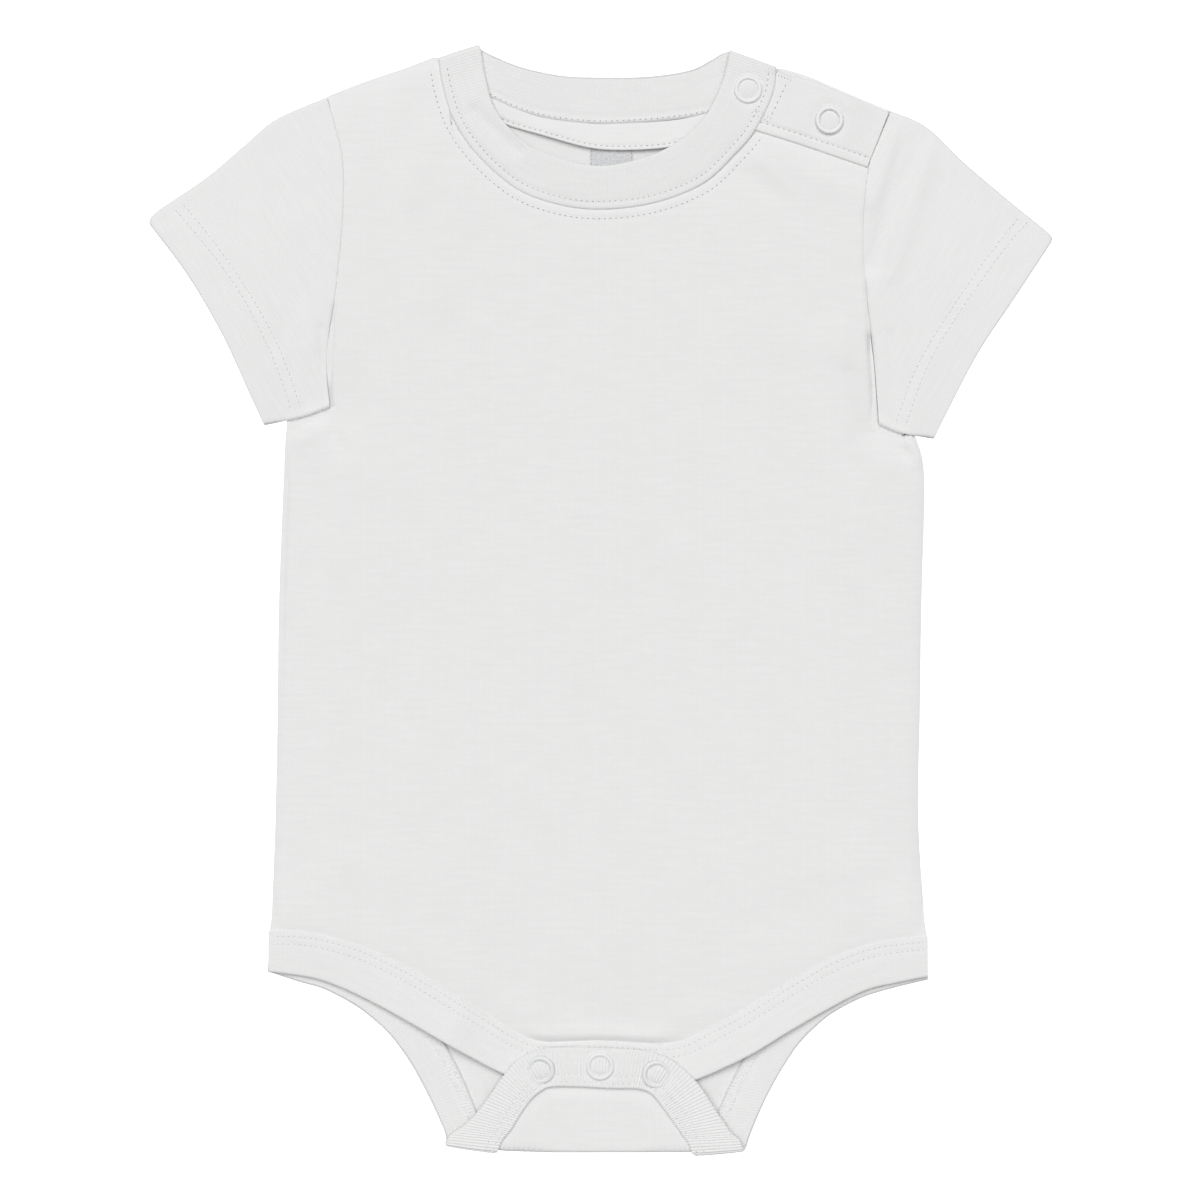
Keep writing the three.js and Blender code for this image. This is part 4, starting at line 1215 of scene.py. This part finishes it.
placket_start = (65.4, 195.0, 56.6, 173.9)
placket_lines = even_rows([placket_start, *placket_front_rows], 0.4)
placket_middle = (placket_lines[:, :2] + placket_lines[:, 2:]) / 2
placket_away = np.hypot(*(placket_middle - np.array(snap_middle("shoulder"))).T)
placket_snap_lift = PLACKET_SNAP_LIFT * (1 - ramp(placket_away, *PLACKET_SNAP_REACH))
placket_height = PLACKET_REST + PLACKET_WALL + placket_snap_lift
placket_low_height = PLACKET_REST + PLACKET_WALL + 0.1 * placket_snap_lift
placket_front = rib_band(
    "placket_front_cloth",
    raised(placket_lines[:, :2], placket_height),
    raised(placket_lines[:, 2:], placket_low_height),
    np.array([[0, 0, -1.0]]),
    1.0,
    0.0,
    [(-PLACKET_ROW_UP, 0.3)],
    places=["shoulder"],
    wall=PLACKET_WALL,
    cells=60,
)
lay_cloth(placket_front, "placket_front", jersey_cotton)

placket_back_rows = [
    # top x, top y, low x, low y
    (66.5, 196.6, 61.5, 183.5),
    (76.0, 193.9, 71.0, 179.6),
    (87.0, 189.3, 82.0, 174.6),
    (97.0, 185.0, 92.0, 170.2),
    (106.8, 181.0, 101.6, 168.4),
]
placket_back_lines = even_rows(placket_back_rows, 0.6)
placket_back = rib_band(
    "placket_back_cloth",
    raised(placket_back_lines[:, :2], PLACKET_BACK_TOP),
    raised(placket_back_lines[:, 2:], PLACKET_BACK_TOP),
    np.array([[0, 0, -1.0]]),
    1.0,
    0.0,
    [PLACKET_BACK_PRESS],
    wall=PLACKET_BACK_WALL,
)
lay_cloth(
    placket_back, "placket_back", jersey_cotton
)


# Press snaps: rings of glossy white plastic, pressed through the cloth and gripping the socket under
# it. Each is turned from one rounded profile and sits a little sunk in its cloth.
RING_WHITE = (0.79, 0.795, 0.80)
RING_TUBE = 0.86
RING_HEIGHT = 0.75
RING_SUNK = 0.45
RING_STEPS = 56
RING_ARC_STEPS = 10
RING_FLATNESS = 0.7
RING_SKIRT = 0.5
snap_places = {
    # tilt about X and about Y, in degrees
    "neck": (0, 0),
    "shoulder": (0, 0),
    "crotch_left": (8, -8),
    "crotch_middle": (0, 0),
    "crotch_right": (6, 8),
}
snap_plastic = bpy.data.materials.new("white_snap_plastic")
snap_plastic.use_nodes = True
snap_shader = snap_plastic.node_tree.nodes["Principled BSDF"]
snap_shader.inputs["Base Color"].default_value = (*RING_WHITE, 1)
snap_shader.inputs["Roughness"].default_value = 0.4
for place, (tilt_x, tilt_y) in snap_places.items():
    low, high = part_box(f"snap_ring_{place}")
    mesh = bmesh.new()
    middle_radius = SNAP_RIM - RING_TUBE
    corners = []
    for step in range(RING_ARC_STEPS + 1):
        angle = math.pi * step / RING_ARC_STEPS
        out = middle_radius - RING_TUBE * math.cos(angle)
        corners.append(mesh.verts.new((out * MM, 0, RING_HEIGHT * math.sin(angle) ** RING_FLATNESS * MM)))
    corners.append(mesh.verts.new(((middle_radius + RING_TUBE) * MM, 0, -RING_SKIRT * MM)))
    corners.append(mesh.verts.new(((middle_radius - RING_TUBE) * MM, 0, -RING_SKIRT * MM)))
    edges = [mesh.edges.new((a, b)) for a, b in zip(corners, corners[1:] + corners[:1])]
    bmesh.ops.spin(
        mesh, geom=corners + edges, cent=(0, 0, 0), axis=(0, 0, 1),
        angle=2 * math.pi, steps=RING_STEPS, use_merge=True,
    )
    bmesh.ops.remove_doubles(mesh, verts=mesh.verts, dist=1e-7)
    bmesh.ops.recalc_face_normals(mesh, faces=mesh.faces)
    tilt = Matrix.Rotation(math.radians(tilt_x), 4, "X") @ Matrix.Rotation(math.radians(tilt_y), 4, "Y")
    middle = ((low.x + high.x) / 2, (low.y + high.y) / 2, low.z - RING_SUNK * MM)
    bmesh.ops.transform(mesh, matrix=Matrix.Translation(middle) @ tilt, verts=mesh.verts)
    for face in mesh.faces:
        face.smooth = True
    data = bpy.data.meshes.new(f"snap_{place}_ring")
    mesh.to_mesh(data)
    mesh.free()
    data.materials.append(snap_plastic)
    ring = bpy.data.objects.new(f"snap_{place}_ring", data)
    bpy.context.scene.collection.objects.link(ring)
    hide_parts(f"snap_ring_{place}")
    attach(ring, "root")


# Sewing: white thread laid in rows over the seams and hems, one stitch after another, with a flat dark
# grey dot between each two that paints the shade inside a needle hole. Rows are given on the plan and
# dropped onto the cloth.
STITCH_PITCH = 2.08
STITCH_SHARE = 0.4
STITCH_LEAN = 0.35
HOLE_DEPTH = 0.05
BAR_TACK = (1.7, 0.6)
LABEL_OVERLOCK = (1.1, 0.7)
BACK_ROW = 1.2
BACK_ROW_CEILING = 2.4
THREAD_RADIUS = 0.14
HOLE_RADIUS = 0.24
SMALL_HOLE = 0.15
DROP_FROM = 0.05
THREAD_WHITE = (0.84, 0.84, 0.84)
# Grey of the flat beads that paint the shade in the needle holes; they sit on the cloth and are not pits.
HOLE_SHADE_GREY = (0.36, 0.36, 0.36)

hem_rows = {
    # x, y along the row nearer the body, x, y along the row nearer the cuff
    "left": [
        (-154.8, 147.1, -157.8, 145.2),
        (-142.6, 132.3, -147.4, 133.0),
        (-129.3, 113.0, -133.8, 114.9),
        (-118.2, 92.5, -122.0, 92.5),
        (-110.6, 71.0, -113.6, 69.2),
    ],
    "right": [
        (155.2, 141.9, 158.9, 140.8),
        (142.6, 126.0, 147.4, 127.1),
        (127.8, 104.5, 131.5, 104.5),
        (116.4, 84.9, 120.4, 85.3),
        (109.0, 64.3, 112.6, 63.7),
    ],
}

depsgraph = bpy.context.evaluated_depsgraph_get()
surfaces = {}
threads, hole_shade_beads = [], []


def drop(pieces, x, y):
    """Highest point of some pieces over a place on the plan, with its normal."""
    best = (None, None)
    for piece in pieces:
        if piece.name not in surfaces:
            surfaces[piece.name] = BVHTree.FromObject(piece, depsgraph)
        spot, normal, _, _ = surfaces[piece.name].ray_cast(Vector((x * MM, y * MM, DROP_FROM)), (0, 0, -1))
        if spot is not None and (best[0] is None or spot.z > best[0].z):
            best = (spot, normal)
    return best


def lay_bead(beads, pieces, x, y, angle, sizes, ceiling=10):
    """One small rounded bead lying on cloth below a ceiling, its length at an angle on the plan."""
    spot, normal = drop(pieces, x, y)
    if spot is None or spot.z > ceiling * MM:
        return
    side = normal.cross(Vector((math.cos(angle), math.sin(angle), 0))).normalized()
    turned_to = Matrix((side.cross(normal) * sizes[0], side * sizes[1], normal * sizes[2])).transposed()
    beads.append(np.array(Matrix.Translation(spot) @ turned_to.to_4x4() @ Matrix.Scale(MM, 4)))


def sew(pieces, line, hole=HOLE_RADIUS, ceiling=10):
    """A row of stitches along a line on the plan, with dark dots between them that paint the shade of the
    needle holes.
    """
    run = run_along(line)
    count = max(int(run[-1] / STITCH_PITCH), 1)
    spots = np.stack(
        [np.interp(np.linspace(0, run[-1], 2 * count + 1), run, line[:, axis]) for axis in range(2)], axis=1
    )
    for index in range(1, len(spots) - 1):
        ahead = spots[index + 1] - spots[index - 1]
        angle = math.atan2(ahead[1], ahead[0])
        if index % 2:
            sizes = (STITCH_PITCH * STITCH_SHARE, THREAD_RADIUS, THREAD_RADIUS)
            lay_bead(threads, pieces, *spots[index], angle, sizes, ceiling)
        else:
            # Painted shade: a flat dark grey dot stands for the shadow inside the needle hole.
            lay_bead(hole_shade_beads, pieces, *spots[index], angle, (hole * 1.25, hole, HOLE_DEPTH), ceiling)


def zigzag(pieces, line, reach, pitch):
    """Close stitches that lean to and fro across a line on the plan, as on a bar-tack."""
    run = run_along(line)
    places = np.linspace(0, run[-1], int(run[-1] / pitch) + 1)
    spots = np.stack([np.interp(places, run, line[:, axis]) for axis in range(2)], axis=1)
    ahead = line[-1] - line[0]
    across = math.atan2(ahead[1], ahead[0]) + math.pi / 2
    for index, spot in enumerate(spots):
        lean = STITCH_LEAN if index % 2 else -STITCH_LEAN
        lay_bead(threads, pieces, *spot, across + lean, (reach / 2, THREAD_RADIUS, THREAD_RADIUS))
        # Painted shade: a small dark grey dot at each end of the stitch stands for its needle hole.
        for end in (-1, 1):
            place = spot + end * reach / 2 * np.array([math.cos(across + lean), math.sin(across + lean)])
            lay_bead(hole_shade_beads, pieces, *place, across, (SMALL_HOLE, SMALL_HOLE, HOLE_DEPTH))


def beside(seam, free, distance):
    """A line at a distance from a band's sewn edge towards its free edge."""
    across = free - seam
    return seam + across * distance / np.linalg.norm(across, axis=1)[:, None]


front_seam_line, front_free_line = neck_front_rows[:, :2], neck_front_rows[:, 2:]
back_seam_line, back_free_line = neck_back_rows[:, :2], neck_back_rows[:, 2:]
placket_corner = np.argmax(front_seam_line[:, 1] < neck_front[PLACKET_ROW][1])
body_row = beside(front_seam_line, front_free_line, -BODY_ROW)[placket_corner:]
sew([neckband], beside(front_seam_line, front_free_line, BAND_ROW)[8:-8])
sew([front_panel], body_row[:-8])
sew([neckband], beside(back_seam_line, back_free_line, BACK_ROW)[60:-60], ceiling=BACK_ROW_CEILING)
sew([neck_tape], beside(tape_lines[:, 2:], tape_lines[:, :2], TAPE_ROW_UP)[8:-8])
for distance, _ in COVER_ROWS:
    sew([leg_binding_front], beside(leg_seam_line, leg_free_line, distance)[6:-6], hole=SMALL_HOLE)
    flap_row = beside(leg_back_sewn[:, :2], leg_back_open[:, :2], distance)
    sew([leg_binding_back], flap_row[flap_share > 0.98], hole=SMALL_HOLE)
for side, rows in hem_rows.items():
    for first in (0, 2):
        sew([sleeves[side]], seam_line([row[first:first + 2] for row in rows]), hole=SMALL_HOLE)

shoulder_cloth = [neckband, placket_front]
placket_row = beside(placket_lines[:, 2:], placket_lines[:, :2], PLACKET_ROW_UP)
sew(shoulder_cloth, placket_row)
sew(shoulder_cloth, np.array([(69.4, 191.8), (62.6, 177.5)]))
zigzag(shoulder_cloth, np.array([(61.8, 195.6), (70.4, 192.6)]), *BAR_TACK)
zigzag(shoulder_cloth, np.array([(56.8, 180.4), (62.3, 177.0)]), *BAR_TACK)
for label_side in LABEL_SIDES:
    label_edge = np.array([(label_side, LABEL_ENDS[0]), (label_side, LABEL_ENDS[1])])
    zigzag([size_label], label_edge, *LABEL_OVERLOCK)

# The inside of the back leg binding shows the looper threads of its seam, scattered beside it.
looper = random.Random(7)
back_rows = leg_back_rows[flap_share < 0.02]
for seam_x, seam_y, free_x, free_y in np.concatenate([back_rows[:, 2:], back_rows[:, :2]], axis=1)[::2]:
    seam_point, free_point = np.array([seam_x, seam_y]), np.array([free_x, free_y])
    share = looper.uniform(0.5, 4.4) / np.linalg.norm(free_point - seam_point)
    place = seam_point + (free_point - seam_point) * share
    spot, _ = drop([leg_binding_back], *place)
    if spot is not None and spot.z < 3 * MM:
        sizes = (looper.uniform(0.4, 0.8), 0.15, looper.uniform(0.15, 0.4))
        lay_bead(threads, [leg_binding_back], *place, looper.uniform(0, math.pi), sizes)

bead = bmesh.new()
bmesh.ops.create_uvsphere(bead, u_segments=6, v_segments=4, radius=1)
bead_points = np.array([vert.co for vert in bead.verts])
bead_faces = [[vert.index for vert in face.verts] for face in bead.faces]
bead.free()
# The second mesh holds the flat grey dots that paint the shade of the needle holes.
sewn = (("topstitch_threads", threads, THREAD_WHITE), ("needle_hole_shade_dots", hole_shade_beads, HOLE_SHADE_GREY))
for name, beads, white in sewn:
    places = np.array(beads)
    points = np.einsum("nij,vj->nvi", places[:, :3, :3], bead_points) + places[:, None, :3, 3]
    starts = range(0, len(beads) * len(bead_points), len(bead_points))
    faces = [[start + corner for corner in face] for start in starts for face in bead_faces]
    data = bpy.data.meshes.new(name)
    data.from_pydata(points.reshape(-1, 3), [], faces)
    data.polygons.foreach_set("use_smooth", np.ones(len(data.polygons), bool))
    material = bpy.data.materials.new(name)
    material.use_nodes = True
    shader = material.node_tree.nodes["Principled BSDF"]
    shader.inputs["Base Color"].default_value = (*white, 1)
    shader.inputs["Roughness"].default_value = 0.8
    data.materials.append(material)
    piece = bpy.data.objects.new(name, data)
    bpy.context.scene.collection.objects.link(piece)
    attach(piece, "root")
